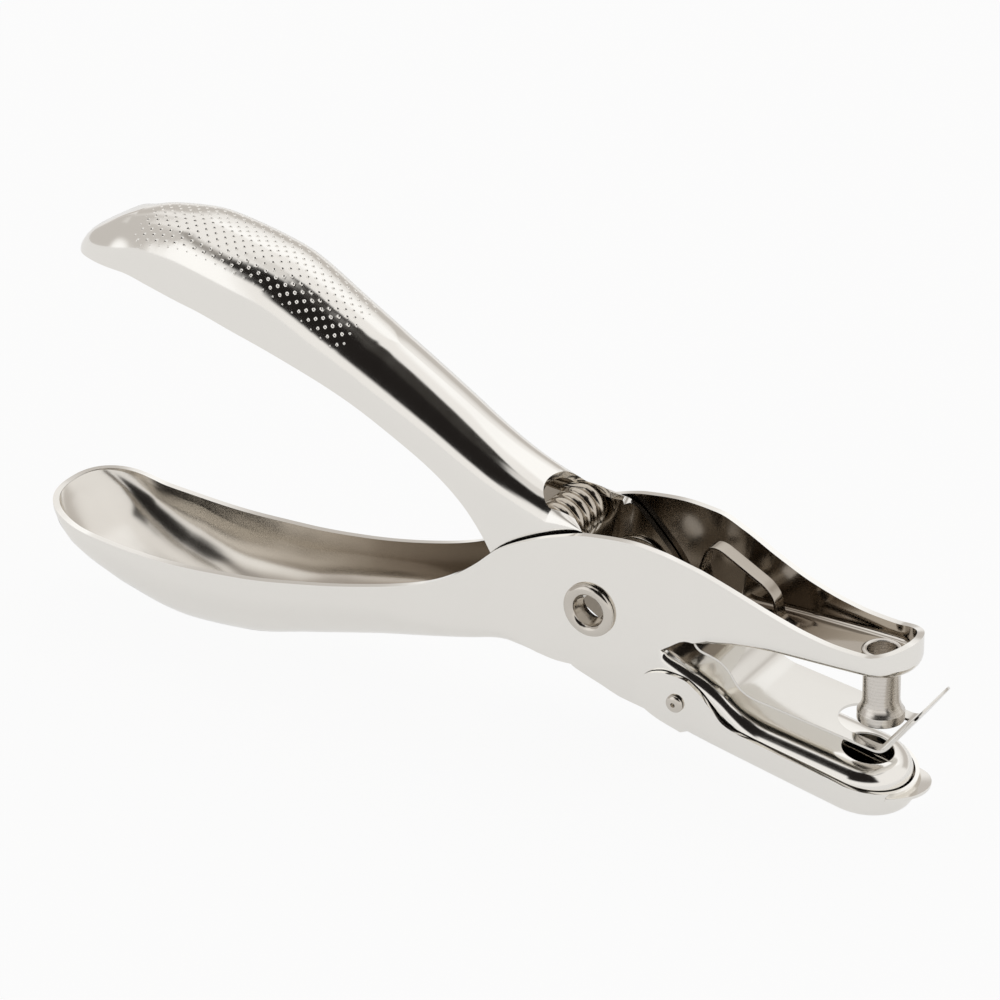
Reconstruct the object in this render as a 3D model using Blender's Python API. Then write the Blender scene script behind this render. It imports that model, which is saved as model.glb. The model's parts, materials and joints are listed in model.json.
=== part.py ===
"""Single hole punch: two stamped levers on side rivets, a punch pin over a die hole,
a spring leaf that strips the paper, a wound spring and a hinged chip tray.

Lengths are in millimetres and become metres when a mesh is made. The pivot is the origin
of every outline. +X points to the nose, +Y runs along the pivot and +Z is up.
The punch lever is drawn as it stands. The die lever and the chip tray are drawn with the
jaws closed and are then turned open. Last of all the whole tool is lifted onto z = 0.
"""

import math

import bmesh
import bpy
import numpy as np
from mathutils import Matrix, Vector

METRE = 0.001

# Sheet, gaps and the rest pose
lever_sheet = 0.9
tray_sheet = 0.5
leaf_sheet = 0.35
slide_gap = 0.2
seat_gap = 0.12
open_angle = math.radians(9.0)

# Punch lever: lower handle, cheeks and upper jaw
cheek_half = 7.25
jaw_nose_half = 5.3
jaw_nose_length = 5.0
spoon_half = 9.4
spoon_cap_length = 9.5
spoon_cap_x = -79.2
punch_x = 37.5
jaw_floor = -0.6
jaw_corner = 1.5
floor_opening = (-13.0, 16.2)
floor_fades = (5.0, 1.6)
spoon_bluntness = 0.84
punch_lever_rim = [
    (-89.5, -6.5), (-85.0, -7.5), (-78.0, -9.1), (-66.0, -9.8), (-54.0, -9.2), (-43.6, -7.8),
    (-32.5, -5.4), (-25.0, -3.0), (-20.5, -0.6), (-17.0, 2.0), (-14.3, 4.4), (-11.5, 6.1),
    (-5.6, 8.7), (0.2, 10.3), (6.0, 10.8), (10.5, 10.4), (15.0, 9.1), (20.3, 6.9),
    (25.0, 5.0), (30.0, 3.5), (34.0, 2.8), (37.5, 2.6), (40.0, 3.0), (42.5, 3.8),
]
punch_lever_base = [
    (-89.5, -7.8), (-87.0, -9.8), (-82.0, -14.2), (-74.0, -18.2), (-64.0, -20.3),
    (-55.0, -19.8), (-45.3, -17.6), (-36.0, -15.1), (-28.0, -12.8), (-19.0, -10.1),
    (-13.5, -8.6), (-9.0, -8.4), (-5.0, -8.8), (-1.5, -8.6), (2.2, -7.6), (7.5, -5.1),
    (11.2, -2.4), (13.8, -1.0), (16.2, -1.3), (20.0, -0.9), (26.0, jaw_floor),
    (42.5, jaw_floor),
]
spoon_width_shares = [
    (-79.2, 0.907), (-72.0, 1.0), (-62.0, 0.907), (-52.0, 0.674), (-42.0, 0.349),
    (-32.0, 0.116), (-22.0, 0.0),
]
jaw_width_shares = [
    (11.0, 0.0), (15.5, 0.282), (20.0, 0.59), (25.0, 0.795), (34.0, 0.923), (punch_x, 1.0),
]
punch_lever_corner = [
    (-89.5, 4.6), (-78.0, 5.6), (-66.0, 4.6), (-50.0, 4.6), (-35.0, 4.0), (-20.0, 2.0),
    (-13.0, jaw_corner),
    (16.2, jaw_corner), (42.5, jaw_corner),
]
punch_lever_stretches = [
    (spoon_cap_x, -26.0, 3.4), (-26.0, floor_opening[0], 1.7),
    (floor_opening[0], floor_opening[1] - floor_fades[1], 1.45),
    (floor_opening[1] - floor_fades[1], floor_opening[1], 0.4),
    (floor_opening[1], punch_x, 2.2),
]

# Die lever: upper handle, inner cheeks and lower jaw, drawn with the jaws closed
die_half = cheek_half - lever_sheet - slide_gap
die_height = -7.5
crown_cap_x = -77.0
crown_cap_length = 9.4
crown_half = 7.5
neck_step = 0.65
neck_half = die_half - neck_step
crown_opening = (-9.0, 10.4)
crown_fades = (5.5, 1.0)
mouth_depth_x = -11.9
mouth_wall = 1.3
mouth_half = neck_half - mouth_wall
die_lever_top = [
    (-86.4, 18.2), (-84.6, 20.2), (-82.0, 22.3), (-78.5, 24.8), (-73.0, 27.2), (-65.8, 28.5),
    (-55.2, 28.2), (-44.4, 24.9), (-34.6, 20.8), (-27.0, 17.2), (-21.3, 14.6), (-16.5, 12.7),
    (-12.0, 11.4), (-9.0, 10.6), (-6.5, 9.7), (-4.0, 8.7), (-1.8, 7.6), (0.8, 5.9),
    (4.5, 3.1), (8.2, -0.9), (10.4, -2.6), (13.0, -3.3), (16.5, -4.2), (19.0, -5.2),
    (21.0, -6.3), (23.0, -7.1), (25.5, die_height), (44.0, die_height),
]
die_lever_edge = [
    (-86.4, 16.6), (-82.0, 17.6), (-73.0, 18.4), (-64.1, 18.3), (-56.4, 17.5), (-48.0, 16.1),
    (-39.7, 14.2), (-31.7, 11.4), (-25.5, 8.7), (-21.0, 5.8), (-17.6, 2.5), (-15.2, -0.6),
    (-12.6, -3.8), (-9.2, -6.9), (-5.0, -9.0), (-2.2, -10.0), (2.5, -10.9), (6.0, -11.5),
    (12.5, -11.6), (15.2, -11.3), (18.0, -11.0), (26.0, -11.0), (44.0, -11.3),
]
crown_width_shares = [
    (-77.0, 0.05), (-72.0, 0.5), (-65.0, 0.85), (-55.0, 1.0), (-44.0, 0.95), (-34.0, 0.7),
    (-26.0, 0.4), (-19.0, 0.15), (-12.0, 0.0), (-9.0, 0.0),
]
die_half_points = [(-5.0, die_half), (punch_x, die_half)]
die_lever_corner = [
    (-86.4, 2.6), (-75.0, 5.0), (-60.0, 5.6), (-40.0, 5.4), (-25.0, 4.4), (-9.0, 3.0),
    (10.4, 1.6), (20.0, 1.8), (26.0, 2.3), (44.0, 2.3),
]
die_lever_stretches = [
    (crown_cap_x, -24.0, 3.3), (-24.0, crown_opening[0], 1.5),
    (crown_opening[0], crown_opening[0] + crown_fades[0], 0.8),
    (crown_opening[0] + crown_fades[0], crown_opening[1] - crown_fades[1], 1.3),
    (crown_opening[1] - crown_fades[1], crown_opening[1], 0.35),
    (crown_opening[1], 26.0, 1.2), (26.0, punch_x, 2.9),
]

# Punch pin, a turned piece
punch_radius = 3.0
punch_stem_radius = 2.35
punch_tenon_radius = 1.9
punch_collar_radius = 2.25
punch_bore_radius = 1.3
punch_bore_depth = 2.2
punch_bottom = -8.4
punch_head_height = 1.2
punch_flare_height = 1.8
punch_hollow_depth = 0.35
punch_hollow_share = 0.86
punch_collar_height = 0.25
punch_collar_ridge_share = 1.25
die_clearance = 0.3

# Pivot eyelets, one in each pair of cheeks
eyelet_barrel_radius = 2.65
eyelet_bore_radius = 2.1
eyelet_head_radius = 3.65
eyelet_head_thick = 0.5
eyelet_clinch_radius = 4.8
eyelet_clinch_thick = 0.45

# Paper leaf: riveted on the punch pin, hooked over the throat and run back over the die
leaf_level = 3.6
leaf_plate_half = 5.1
leaf_hook_half = 1.4
leaf_top_half = 2.4
leaf_slot_half = 3.6
leaf_slot = (32.0, 40.9)
leaf_path = [
    (41.2, leaf_level, 1.5), (40.3, leaf_level, 2.1), (38.9, leaf_level, leaf_top_half),
    (25.0, leaf_level, leaf_top_half),
    (23.0, 3.9, 1.9), (22.3, 4.8, leaf_hook_half), (21.5, 6.3, leaf_hook_half),
    (20.3, 7.0, leaf_hook_half), (15.9, 9.3, leaf_hook_half), (14.7, 9.3, leaf_hook_half),
    (13.9, 8.4, leaf_hook_half), (13.1, 6.0, 1.6), (12.9, 0.6, 3.2), (13.3, -1.8, 4.6),
    (14.4, -2.8, leaf_plate_half), (17.6, -3.5, leaf_plate_half), (18.9, -4.5, leaf_plate_half),
    (20.3, -6.5, leaf_plate_half), (22.0, -7.3, leaf_plate_half),
    (41.1, -8.8, leaf_plate_half), (42.0, -8.3, leaf_plate_half), (45.0, -4.6, leaf_plate_half),
]

# Wound spring between the two handles
wire_radius = 0.6
coil_radius = 2.75
coil_turns = 4.0
coil_side_gap = 0.36
coil_half = neck_half - lever_sheet - coil_side_gap - wire_radius
coil_pitch = 2 * coil_half / coil_turns
coil_points_per_turn = 10
coil_centre = (-6.8, 7.5)
coil_enter = math.radians(-43.0)
coil_leave = math.radians(84.0)
lower_leg = [(-18.6, -0.88 * coil_half, -7.6), (-10.7, -0.93 * coil_half, 0.4)]
upper_leg = [
    (-9.4, 0.88 * coil_half, 10.3), (-12.4, 0.77 * coil_half, 10.8),
    (-18.0, 0.55 * coil_half, 13.6), (-24.0, 0.44 * coil_half, 17.2),
]

# Chip tray, drawn with the jaws closed, and its two pins
tray_half = die_half + slide_gap + tray_sheet
tray_corner = 1.3
tray_floor_start = 15.6
tray_rim = [
    (7.9, -7.7), (8.4, -6.6), (9.6, -5.5), (11.6, -4.7), (14.0, -4.5), (16.2, -5.3),
    (18.6, -7.0), (20.6, -8.4), (22.5, -8.8), (34.8, -9.3), (44.4, -9.8),
]
tray_base = [
    (7.9, -9.6), (8.4, -10.4), (9.6, -11.1), (11.6, -11.7), (14.4, -12.1), (16.0, -12.3),
    (26.3, -12.9), (34.5, -13.3), (44.4, -13.7),
]
tray_pin = (13.6, -8.3)
tray_pin_radius = 0.8
tray_pin_head_radius = 1.2
tray_pin_head_thick = 0.4
tray_pin_dome_shares = [(0.9, 0.7), (0.45, 1.0), (0.3, 1.0), (0, 0.5)]
lip_length = 1.9
lip_rise = 0.9
lip_root = 0.1
lip_bite = 0.35
lip_below_rim = 0.6
lip_half_angle = math.radians(40.0)
tray_stretches = [
    (tray_rim[0][0], 10.0, 0.5), (10.0, tray_floor_start - tray_corner / 2, 1.2),
    (tray_floor_start - tray_corner / 2, tray_floor_start, 0.3),
    (tray_floor_start, 22.5, 1.1), (22.5, punch_x, 3.0),
]

# Finishes
nickel = (0.78, 0.76, 0.73)
turned_steel = (0.66, 0.63, 0.60)
spring_steel = (0.72, 0.71, 0.69)
wire_steel = (0.62, 0.60, 0.57)
finishes = {
    "punch_lever": ("nickel_punch_lever", nickel, 0.12),
    "die_lever": ("nickel_die_lever", nickel, 0.12),
    "punch_pin": ("turned_punch_steel", turned_steel, 0.3),
    "pivot_eyelet_near": ("nickel_eyelet_near", nickel, 0.12),
    "pivot_eyelet_far": ("nickel_eyelet_far", nickel, 0.12),
    "paper_leaf": ("leaf_spring_steel", spring_steel, 0.18),
    "spring": ("spring_wire", wire_steel, 0.22),
    "chip_tray": ("nickel_chip_tray", nickel, 0.12),
    "tray_pin_near": ("nickel_tray_pin_near", nickel, 0.12),
    "tray_pin_far": ("nickel_tray_pin_far", nickel, 0.12),
}

# How finely the curved forms are drawn
wall_steps = 2
corner_steps = 5
web_steps = 2
cap_steps = 10
arch_steps = 16
slot_steps = 12
flare_steps = 6
lip_steps = 12
turned_steps = 32
least_edge = 0.03
most_corner_share = 0.8


def clear_scene():
    for item in list(bpy.data.objects):
        bpy.data.objects.remove(item, do_unlink=True)


def curve_through(points):
    """A smooth function of x through the points that never overshoots them."""
    x = np.array([point[0] for point in points], float)
    y = np.array([point[1] for point in points], float)
    step = np.diff(x)
    slope = np.diff(y) / step
    tangent = np.zeros(len(x))
    tangent[0] = slope[0]
    tangent[-1] = slope[-1]
    for i in range(1, len(x) - 1):
        if slope[i - 1] * slope[i] > 0:
            before = 2 * step[i] + step[i - 1]
            after = step[i] + 2 * step[i - 1]
            tangent[i] = (before + after) / (before / slope[i - 1] + after / slope[i])

    def value(at):
        at = min(max(at, x[0]), x[-1])
        i = min(int(np.searchsorted(x, at, side="right")) - 1, len(step) - 1)
        t = (at - x[i]) / step[i]
        left = (1 + 2 * t) * (1 - t) ** 2 * y[i] + t * (1 - t) ** 2 * step[i] * tangent[i]
        right = t * t * (3 - 2 * t) * y[i + 1] - t * t * (1 - t) * step[i] * tangent[i + 1]
        return left + right

    return value


def widths(shares, narrow, wide):
    """Half widths from one value towards another, by the share of the way at each x."""
    return [(x, narrow + (wide - narrow) * share) for x, share in shares]


def add_object(name, mesh):
    item = bpy.data.objects.new(name, mesh)
    bpy.context.scene.collection.objects.link(item)
    return item


def object_from_bmesh(name, shape, scale=METRE):
    bmesh.ops.scale(shape, vec=(scale, scale, scale), verts=shape.verts)
    mesh = bpy.data.meshes.new(name)
    shape.to_mesh(mesh)
    shape.free()
    return add_object(name, mesh)


def smooth_faces(item):
    for face in item.data.polygons:
        face.use_smooth = True


def bake(item):
    """Replaces the object's mesh with what its modifiers make of it, and removes them."""
    graph = bpy.context.evaluated_depsgraph_get()
    mesh = bpy.data.meshes.new_from_object(item.evaluated_get(graph))
    item.modifiers.clear()
    item.data = mesh


def combine(item, tool, operation):
    tool.hide_render = True
    tool.display_type = "WIRE"
    change = item.modifiers.new(operation.lower() + "_" + tool.name, "BOOLEAN")
    change.operation = operation
    change.solver = "EXACT"
    change.object = tool
    bake(item)
    bpy.data.objects.remove(tool, do_unlink=True)


def turned(name, profile, axis, centre):
    """A solid of revolution. The profile is (radius, height) pairs from the lower axis point up."""
    shape = bmesh.new()
    rings = []
    for radius, height in profile:
        if radius == 0:
            rings.append([shape.verts.new((0, 0, height))])
            continue
        ring = []
        for i in range(turned_steps):
            angle = 2 * math.pi * i / turned_steps
            ring.append(shape.verts.new((radius * math.cos(angle), radius * math.sin(angle), height)))
        rings.append(ring)
    closed_loop = profile[0][0] != 0
    pairs = list(zip(rings[:-1], rings[1:]))
    if closed_loop:
        pairs.append((rings[-1], rings[0]))
    for lower, upper in pairs:
        for i in range(turned_steps):
            k = (i + 1) % turned_steps
            corners = [lower[i % len(lower)], lower[k % len(lower)]]
            corners += [upper[k % len(upper)], upper[i % len(upper)]]
            corners = list(dict.fromkeys(corners))
            if len(corners) > 2:
                shape.faces.new(corners)
    bmesh.ops.recalc_face_normals(shape, faces=shape.faces)
    turn = Vector((0, 0, 1)).rotation_difference(Vector(axis)).to_matrix().to_4x4()
    bmesh.ops.transform(shape, matrix=Matrix.Translation(centre) @ turn, verts=shape.verts)
    return object_from_bmesh(name, shape)


def drill(item, radius, axis, centre, depth):
    profile = [(0, -depth), (radius, -depth), (radius, depth), (0, depth)]
    combine(item, turned("drill", profile, axis, centre), "DIFFERENCE")


def section(foot, inward, reach, edge, web, corner):
    """Points from the free edge, down the wall and round the corner, to the centre line.

    The web is below the edge for an open channel and above it for an inverted one.
    """
    side = 1 if web(foot[0]) < edge(foot[0]) else -1
    depth = abs(edge(foot[0]) - web(foot[0]))
    radius = min(corner(foot[0]), reach * most_corner_share, depth * most_corner_share)
    points = []
    for i in range(wall_steps + 1):
        share = i / wall_steps
        low = web(foot[0]) + side * radius
        points.append((foot[0], foot[1], edge(foot[0]) * (1 - share) + low * share))
    for i in range(1, corner_steps + 1):
        angle = math.pi / 2 * i / corner_steps
        along = radius * (1 - math.cos(angle))
        x = foot[0] + inward[0] * along
        y = foot[1] + inward[1] * along
        points.append((x, y, web(x) + side * radius * (1 - math.sin(angle))))
    for i in range(1, web_steps + 1):
        along = radius + (reach - radius) * i / web_steps
        x = foot[0] + inward[0] * along
        y = foot[1] + inward[1] * along
        points.append((x, y, web(x)))
    return points


def cap_feet(centre_x, length, bluntness, half, toward):
    """Feet on a quarter ellipse from the tip to the side, with their way in to the centre.

    A bluntness of 1 is a true ellipse and a smaller one is squarer.
    """
    feet = []
    for i in range(cap_steps):
        angle = math.pi / 2 * i / cap_steps
        along = length * math.cos(angle) ** bluntness
        foot = (centre_x + toward * along, -half * math.sin(angle) ** bluntness)
        reach = math.hypot(foot[0] - centre_x, foot[1])
        inward = ((centre_x - foot[0]) / reach, -foot[1] / reach)
        feet.append((foot, inward, reach))
    return feet


def channel(name, stations, half, edge, web, corner, opening, thickness, caps):
    """A stamped channel with closed ends, drawn on one side and mirrored.

    opening is the stretch of x where the web is missing, and caps holds the
    (centre, length, bluntness) of the rear and front ends, or None for an open end.
    """
    rows = []
    if caps[0]:
        rows += cap_feet(*caps[0], half(caps[0][0]), -1)
    for x in stations:
        rows.append(((x, -half(x)), (0, 1), half(x)))
    if caps[1]:
        rows += reversed(cap_feet(*caps[1], half(caps[1][0]), 1))
    shape = bmesh.new()
    for mirror in (1, -1):
        grid = []
        for foot, inward, reach in rows:
            points = section(foot, inward, reach, edge, web, corner)
            grid.append([shape.verts.new((x, y * mirror, z)) for x, y, z in points])
        for i in range(len(grid) - 1):
            middle = (rows[i][0][0] + rows[i + 1][0][0]) / 2
            is_open = opening[0] < middle < opening[1]
            for j in range(len(grid[0]) - 1):
                if is_open and j >= wall_steps + corner_steps:
                    continue
                corners = [grid[i][j], grid[i + 1][j], grid[i + 1][j + 1], grid[i][j + 1]]
                shape.faces.new(corners if mirror > 0 else corners[::-1])
    bmesh.ops.remove_doubles(shape, verts=shape.verts, dist=least_edge)
    bmesh.ops.recalc_face_normals(shape, faces=shape.faces)
    point_normals_out(shape)
    item = object_from_bmesh(name, shape)
    thicken(item, thickness)
    return item


def point_normals_out(shape):
    """Makes the near wall's faces look away from the centre line."""
    shape.normal_update()
    near = [face for face in shape.faces if face.calc_center_median().y < 0]
    wall = max(near, key=lambda face: abs(face.normal.y) * face.calc_area())
    if wall.normal.y > 0:
        bmesh.ops.reverse_faces(shape, faces=shape.faces)


def thicken(item, thickness, offset=-1):
    solid = item.modifiers.new("sheet", "SOLIDIFY")
    solid.thickness = thickness * METRE
    solid.offset = offset
    solid.use_even_offset = True
    solid.use_quality_normals = True
    bake(item)


def faded(corner, opening, fades):
    """The corner radius, which fades to nothing over the given lengths where the web is missing."""
    def value(x):
        if opening[0] < x < opening[1]:
            after = (x - opening[0]) / fades[0]
            before = (opening[1] - x) / fades[1]
            return corner(x) * max(0, 1 - min(after, before))
        return corner(x)
    return value


def spaced(stretches):
    """Stations along x: each stretch is (start, end, step)."""
    found = []
    for start, end, step in stretches:
        count = max(1, round((end - start) / step))
        found += [start + (end - start) * i / count for i in range(count)]
    found.append(stretches[-1][1])
    return found


def finish(item):
    """Gives the piece its own material and smooth faces."""
    name, colour, roughness = finishes[item.name]
    metal = bpy.data.materials.new(name)
    metal.use_nodes = True
    shader = metal.node_tree.nodes["Principled BSDF"]
    shader.inputs["Base Color"].default_value = (*colour, 1)
    shader.inputs["Metallic"].default_value = 1
    shader.inputs["Roughness"].default_value = roughness
    item.data.materials.clear()
    item.data.materials.append(metal)
    if item.type == "MESH":
        smooth_faces(item)


def make_punch_lever():
    edge = curve_through(punch_lever_rim)
    web = curve_through(punch_lever_base)
    rear = widths(spoon_width_shares, cheek_half, spoon_half)
    front = widths(jaw_width_shares, cheek_half, jaw_nose_half)
    half = curve_through(rear + front)
    corner = faded(curve_through(punch_lever_corner), floor_opening, floor_fades)
    stations = spaced(punch_lever_stretches)
    caps = ((spoon_cap_x, spoon_cap_length, spoon_bluntness), (punch_x, jaw_nose_length, 1))
    item = channel(
        "punch_lever", stations, half, edge, web, corner, floor_opening, lever_sheet, caps
    )
    hole = eyelet_barrel_radius + seat_gap
    drill(item, hole, (0, 1, 0), (0, 0, 0), cheek_half * 2)
    stem_hole = punch_stem_radius + seat_gap
    drill(item, stem_hole, (0, 0, 1), (punch_x, 0, jaw_floor), lever_sheet * 2)
    return item


def make_die_lever():
    edge = curve_through(die_lever_edge)
    web = curve_through(die_lever_top)
    half = curve_through(widths(crown_width_shares, neck_half, crown_half) + die_half_points)
    corner = faded(curve_through(die_lever_corner), crown_opening, crown_fades)
    stations = spaced(die_lever_stretches)
    caps = ((crown_cap_x, crown_cap_length, 1), (punch_x, die_half, 1))
    item = channel(
        "die_lever", stations, half, edge, web, corner, crown_opening, lever_sheet, caps
    )
    cut_mouth(item)
    hole = eyelet_barrel_radius + seat_gap
    drill(item, hole, (0, 1, 0), (0, 0, 0), die_half * 2)
    die_radius = punch_radius + die_clearance
    drill(item, die_radius, (0, 0, 1), (punch_x, 0, die_height), lever_sheet * 2)
    pin_hole = tray_pin_radius + seat_gap
    drill(item, pin_hole, (0, 1, 0), (tray_pin[0], 0, tray_pin[1]), die_half * 2)
    return item


def cut_mouth(item):
    """Rounds the end of the crown into an arch over the spring."""
    reach = crown_opening[0] - mouth_depth_x
    front = crown_opening[0] + reach
    shape = bmesh.new()
    outline = []
    for i in range(arch_steps + 1):
        angle = -math.pi / 2 + math.pi * i / arch_steps
        x = crown_opening[0] - reach * math.cos(angle)
        outline.append((x, mouth_half * math.sin(angle)))
    outline += [(front, mouth_half), (front, -mouth_half)]
    extruded(shape, outline, 0, max(height for x, height in die_lever_top))
    combine(item, object_from_bmesh("mouth", shape), "DIFFERENCE")


def extruded(shape, outline, bottom, top):
    """Fills shape with the prism over an outline in x and y."""
    lower = [shape.verts.new((x, y, bottom)) for x, y in outline]
    upper = [shape.verts.new((x, y, top)) for x, y in outline]
    shape.faces.new(lower)
    shape.faces.new(upper)
    for i in range(len(outline)):
        k = (i + 1) % len(outline)
        shape.faces.new((lower[i], lower[k], upper[k], upper[i]))
    bmesh.ops.recalc_face_normals(shape, faces=shape.faces)


def make_punch_pin():
    top = leaf_level + leaf_sheet + seat_gap
    collar_top = top + punch_collar_height
    head_top = punch_bottom + punch_head_height
    flare_top = head_top + punch_flare_height
    profile = [(0, punch_bottom + punch_hollow_depth)]
    profile.append((punch_radius * punch_hollow_share, punch_bottom))
    profile.append((punch_radius, punch_bottom))
    profile.append((punch_radius, head_top))
    for i in range(1, flare_steps):
        share = i / flare_steps
        radius = punch_stem_radius + (punch_radius - punch_stem_radius) * (1 - share) ** 2
        profile.append((radius, head_top + punch_flare_height * share))
    profile.append((punch_stem_radius, flare_top))
    profile.append((punch_stem_radius, leaf_level - leaf_sheet - seat_gap))
    profile.append((punch_tenon_radius, leaf_level - leaf_sheet - seat_gap))
    profile.append((punch_tenon_radius, top))
    profile.append((punch_collar_radius, top))
    profile.append((punch_collar_radius, collar_top))
    ridge = punch_bore_radius * punch_collar_ridge_share
    profile.append((ridge, collar_top + leaf_sheet / 2))
    profile.append((punch_bore_radius, collar_top))
    profile.append((punch_bore_radius, collar_top - punch_bore_depth))
    profile.append((0, collar_top - punch_bore_depth))
    return turned("punch_pin", profile, (0, 0, 1), (punch_x, 0, 0))


def make_eyelet(name, side):
    head_face = cheek_half + seat_gap
    head_top = head_face + eyelet_head_thick
    clinch_face = die_half - lever_sheet - seat_gap
    clinch_top = clinch_face - eyelet_clinch_thick
    edge = eyelet_head_thick / 3
    profile = [
        (eyelet_bore_radius, clinch_top), (eyelet_clinch_radius, clinch_top),
        (eyelet_clinch_radius, clinch_face), (eyelet_barrel_radius, clinch_face),
        (eyelet_barrel_radius, head_face), (eyelet_head_radius, head_face),
        (eyelet_head_radius, head_top - edge), (eyelet_head_radius - edge, head_top),
        (eyelet_bore_radius + edge * 2, head_top), (eyelet_bore_radius, head_top - edge * 2),
    ]
    return turned(name, profile, (0, side, 0), (0, 0, 0))


def make_tray_pin(name, side):
    outside = tray_half + seat_gap
    inside = die_half - lever_sheet - seat_gap
    profile = [
        (0, inside - tray_pin_head_thick), (tray_pin_head_radius, inside - tray_pin_head_thick),
        (tray_pin_head_radius, inside), (tray_pin_radius, inside), (tray_pin_radius, outside),
        (tray_pin_head_radius, outside),
    ]
    for wide, high in tray_pin_dome_shares:
        profile.append((tray_pin_head_radius * wide, outside + tray_pin_head_thick * high))
    return turned(name, profile, (0, side, 0), (tray_pin[0], 0, tray_pin[1]))


def make_paper_leaf():
    """A ribbon along leaf_path, slotted round the punch and thickened about its middle."""
    shape = bmesh.new()
    rows = []
    for x, z, half in leaf_path:
        rows.append([shape.verts.new((x, y, z)) for y in (-half, 0, half)])
    for lower, upper in zip(rows[:-1], rows[1:]):
        for j in range(2):
            shape.faces.new((lower[j], lower[j + 1], upper[j + 1], upper[j]))
    item = object_from_bmesh("paper_leaf", shape)
    thicken(item, leaf_sheet, 0)
    tenon_hole = punch_tenon_radius + seat_gap
    drill(item, tenon_hole, (0, 0, 1), (punch_x, 0, leaf_level), leaf_sheet * 2)
    cut_slot(item)
    return item


def cut_slot(item):
    """The long slot of the lower plate, round at its rear end."""
    shape = bmesh.new()
    outline = [(leaf_slot[1], -leaf_slot_half), (leaf_slot[1], leaf_slot_half)]
    centre = leaf_slot[0] + leaf_slot_half
    for i in range(slot_steps + 1):
        angle = math.pi / 2 + math.pi * i / slot_steps
        outline.append((centre + leaf_slot_half * math.cos(angle), leaf_slot_half * math.sin(angle)))
    extruded(shape, outline, punch_bottom - punch_head_height, jaw_floor)
    combine(item, object_from_bmesh("slot", shape), "DIFFERENCE")


def spring_path():
    """The wire's middle line: lower leg, coil and upper leg as one run of points."""
    x0, z0 = coil_centre
    turn = coil_leave - coil_enter + 2 * math.pi * coil_turns
    steps = round(turn / (2 * math.pi) * coil_points_per_turn)
    coil = []
    for i in range(steps + 1):
        angle = coil_enter + turn * i / steps
        y = coil_pitch * coil_turns * (i / steps - 0.5)
        coil.append(Vector((x0 + coil_radius * math.cos(angle), y, z0 + coil_radius * math.sin(angle))))
    lower = [Vector(point) for point in lower_leg]
    upper = [Vector(point) for point in upper_leg]
    lower.insert(0, lower[0] + (lower[0] - lower[1]).normalized() * 2 * wire_radius)
    upper.append(upper[-1] + (upper[-1] - upper[-2]).normalized() * 2 * wire_radius)
    return lower, coil, upper


def least_gap(coil):
    """The least distance between wire surfaces a turn or more apart."""
    found = []
    for i, point in enumerate(coil):
        for other in coil[i + coil_points_per_turn - 2:]:
            found.append((point - other).length - 2 * wire_radius)
    return min(found)


def make_spring():
    lower, coil, upper = spring_path()
    path = lower + coil + upper
    data = bpy.data.curves.new("spring", "CURVE")
    data.dimensions = "3D"
    data.bevel_depth = wire_radius * METRE
    data.bevel_resolution = 1
    data.use_fill_caps = True
    line = data.splines.new("POLY")
    line.points.add(len(path) - 1)
    for target, point in zip(line.points, path):
        target.co = (*(point * METRE), 1)
    print("least gap between the spring's turns, mm:", round(least_gap(coil), 2))
    return add_object("spring", data)


def make_chip_tray():
    edge = curve_through(tray_rim)
    web = curve_through(tray_base)
    half = curve_through([(0.0, tray_half), (punch_x, tray_half)])
    opening = (tray_rim[0][0] - tray_corner, tray_floor_start)
    plain_corner = curve_through([(tray_rim[0][0], tray_corner), (tray_rim[-1][0], tray_corner)])
    corner = faded(plain_corner, opening, (tray_corner / 2, tray_corner / 2))
    stations = spaced(tray_stretches)
    caps = (None, (punch_x, tray_half, 1))
    item = channel("chip_tray", stations, half, edge, web, corner, opening, tray_sheet, caps)
    combine(item, make_lip(edge(punch_x + tray_half)), "UNION")
    pin_hole = tray_pin_radius + seat_gap
    drill(item, pin_hole, (0, 1, 0), (tray_pin[0], 0, tray_pin[1]), tray_half * 2)
    return item


def make_lip(rim_height):
    """The finger lip: a crescent that leaves the tray's nose and rises outward."""
    shape = bmesh.new()
    top = rim_height - lip_below_rim
    inner = tray_half - lip_bite
    rows = []
    for i in range(lip_steps + 1):
        turn = i / lip_steps * 2 - 1
        angle = lip_half_angle * turn
        reach = lip_root + lip_length * math.cos(turn * math.pi / 2)
        outer = tray_half + reach
        rise = lip_rise * reach / lip_length
        corners = [(inner, top - tray_sheet), (outer, top - tray_sheet + rise)]
        corners += [(outer, top + rise), (inner, top)]
        row = []
        for radius, height in corners:
            x = punch_x + radius * math.cos(angle)
            row.append(shape.verts.new((x, radius * math.sin(angle), height)))
        rows.append(row)
    for lower, upper in zip(rows[:-1], rows[1:]):
        for j in range(4):
            k = (j + 1) % 4
            shape.faces.new((lower[j], lower[k], upper[k], upper[j]))
    shape.faces.new(rows[0])
    shape.faces.new(rows[-1])
    bmesh.ops.recalc_face_normals(shape, faces=shape.faces)
    return object_from_bmesh("lip", shape)


def corners_of(items):
    """The least and greatest coordinates of the pieces together."""
    graph = bpy.context.evaluated_depsgraph_get()
    found = []
    for item in items:
        mesh = item.evaluated_get(graph).to_mesh()
        found += [tuple(item.matrix_world @ point.co) for point in mesh.vertices]
    return np.min(found, axis=0), np.max(found, axis=0)


def turn_open(item):
    """Turns a piece that was drawn with the jaws closed about the pivot."""
    item.data.transform(Matrix.Rotation(open_angle, 4, "Y"))


def set_origin(item, point):
    """Moves the object's origin to a point and leaves its shape where it is."""
    item.data.transform(Matrix.Translation(-point))
    item.location += point


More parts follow.
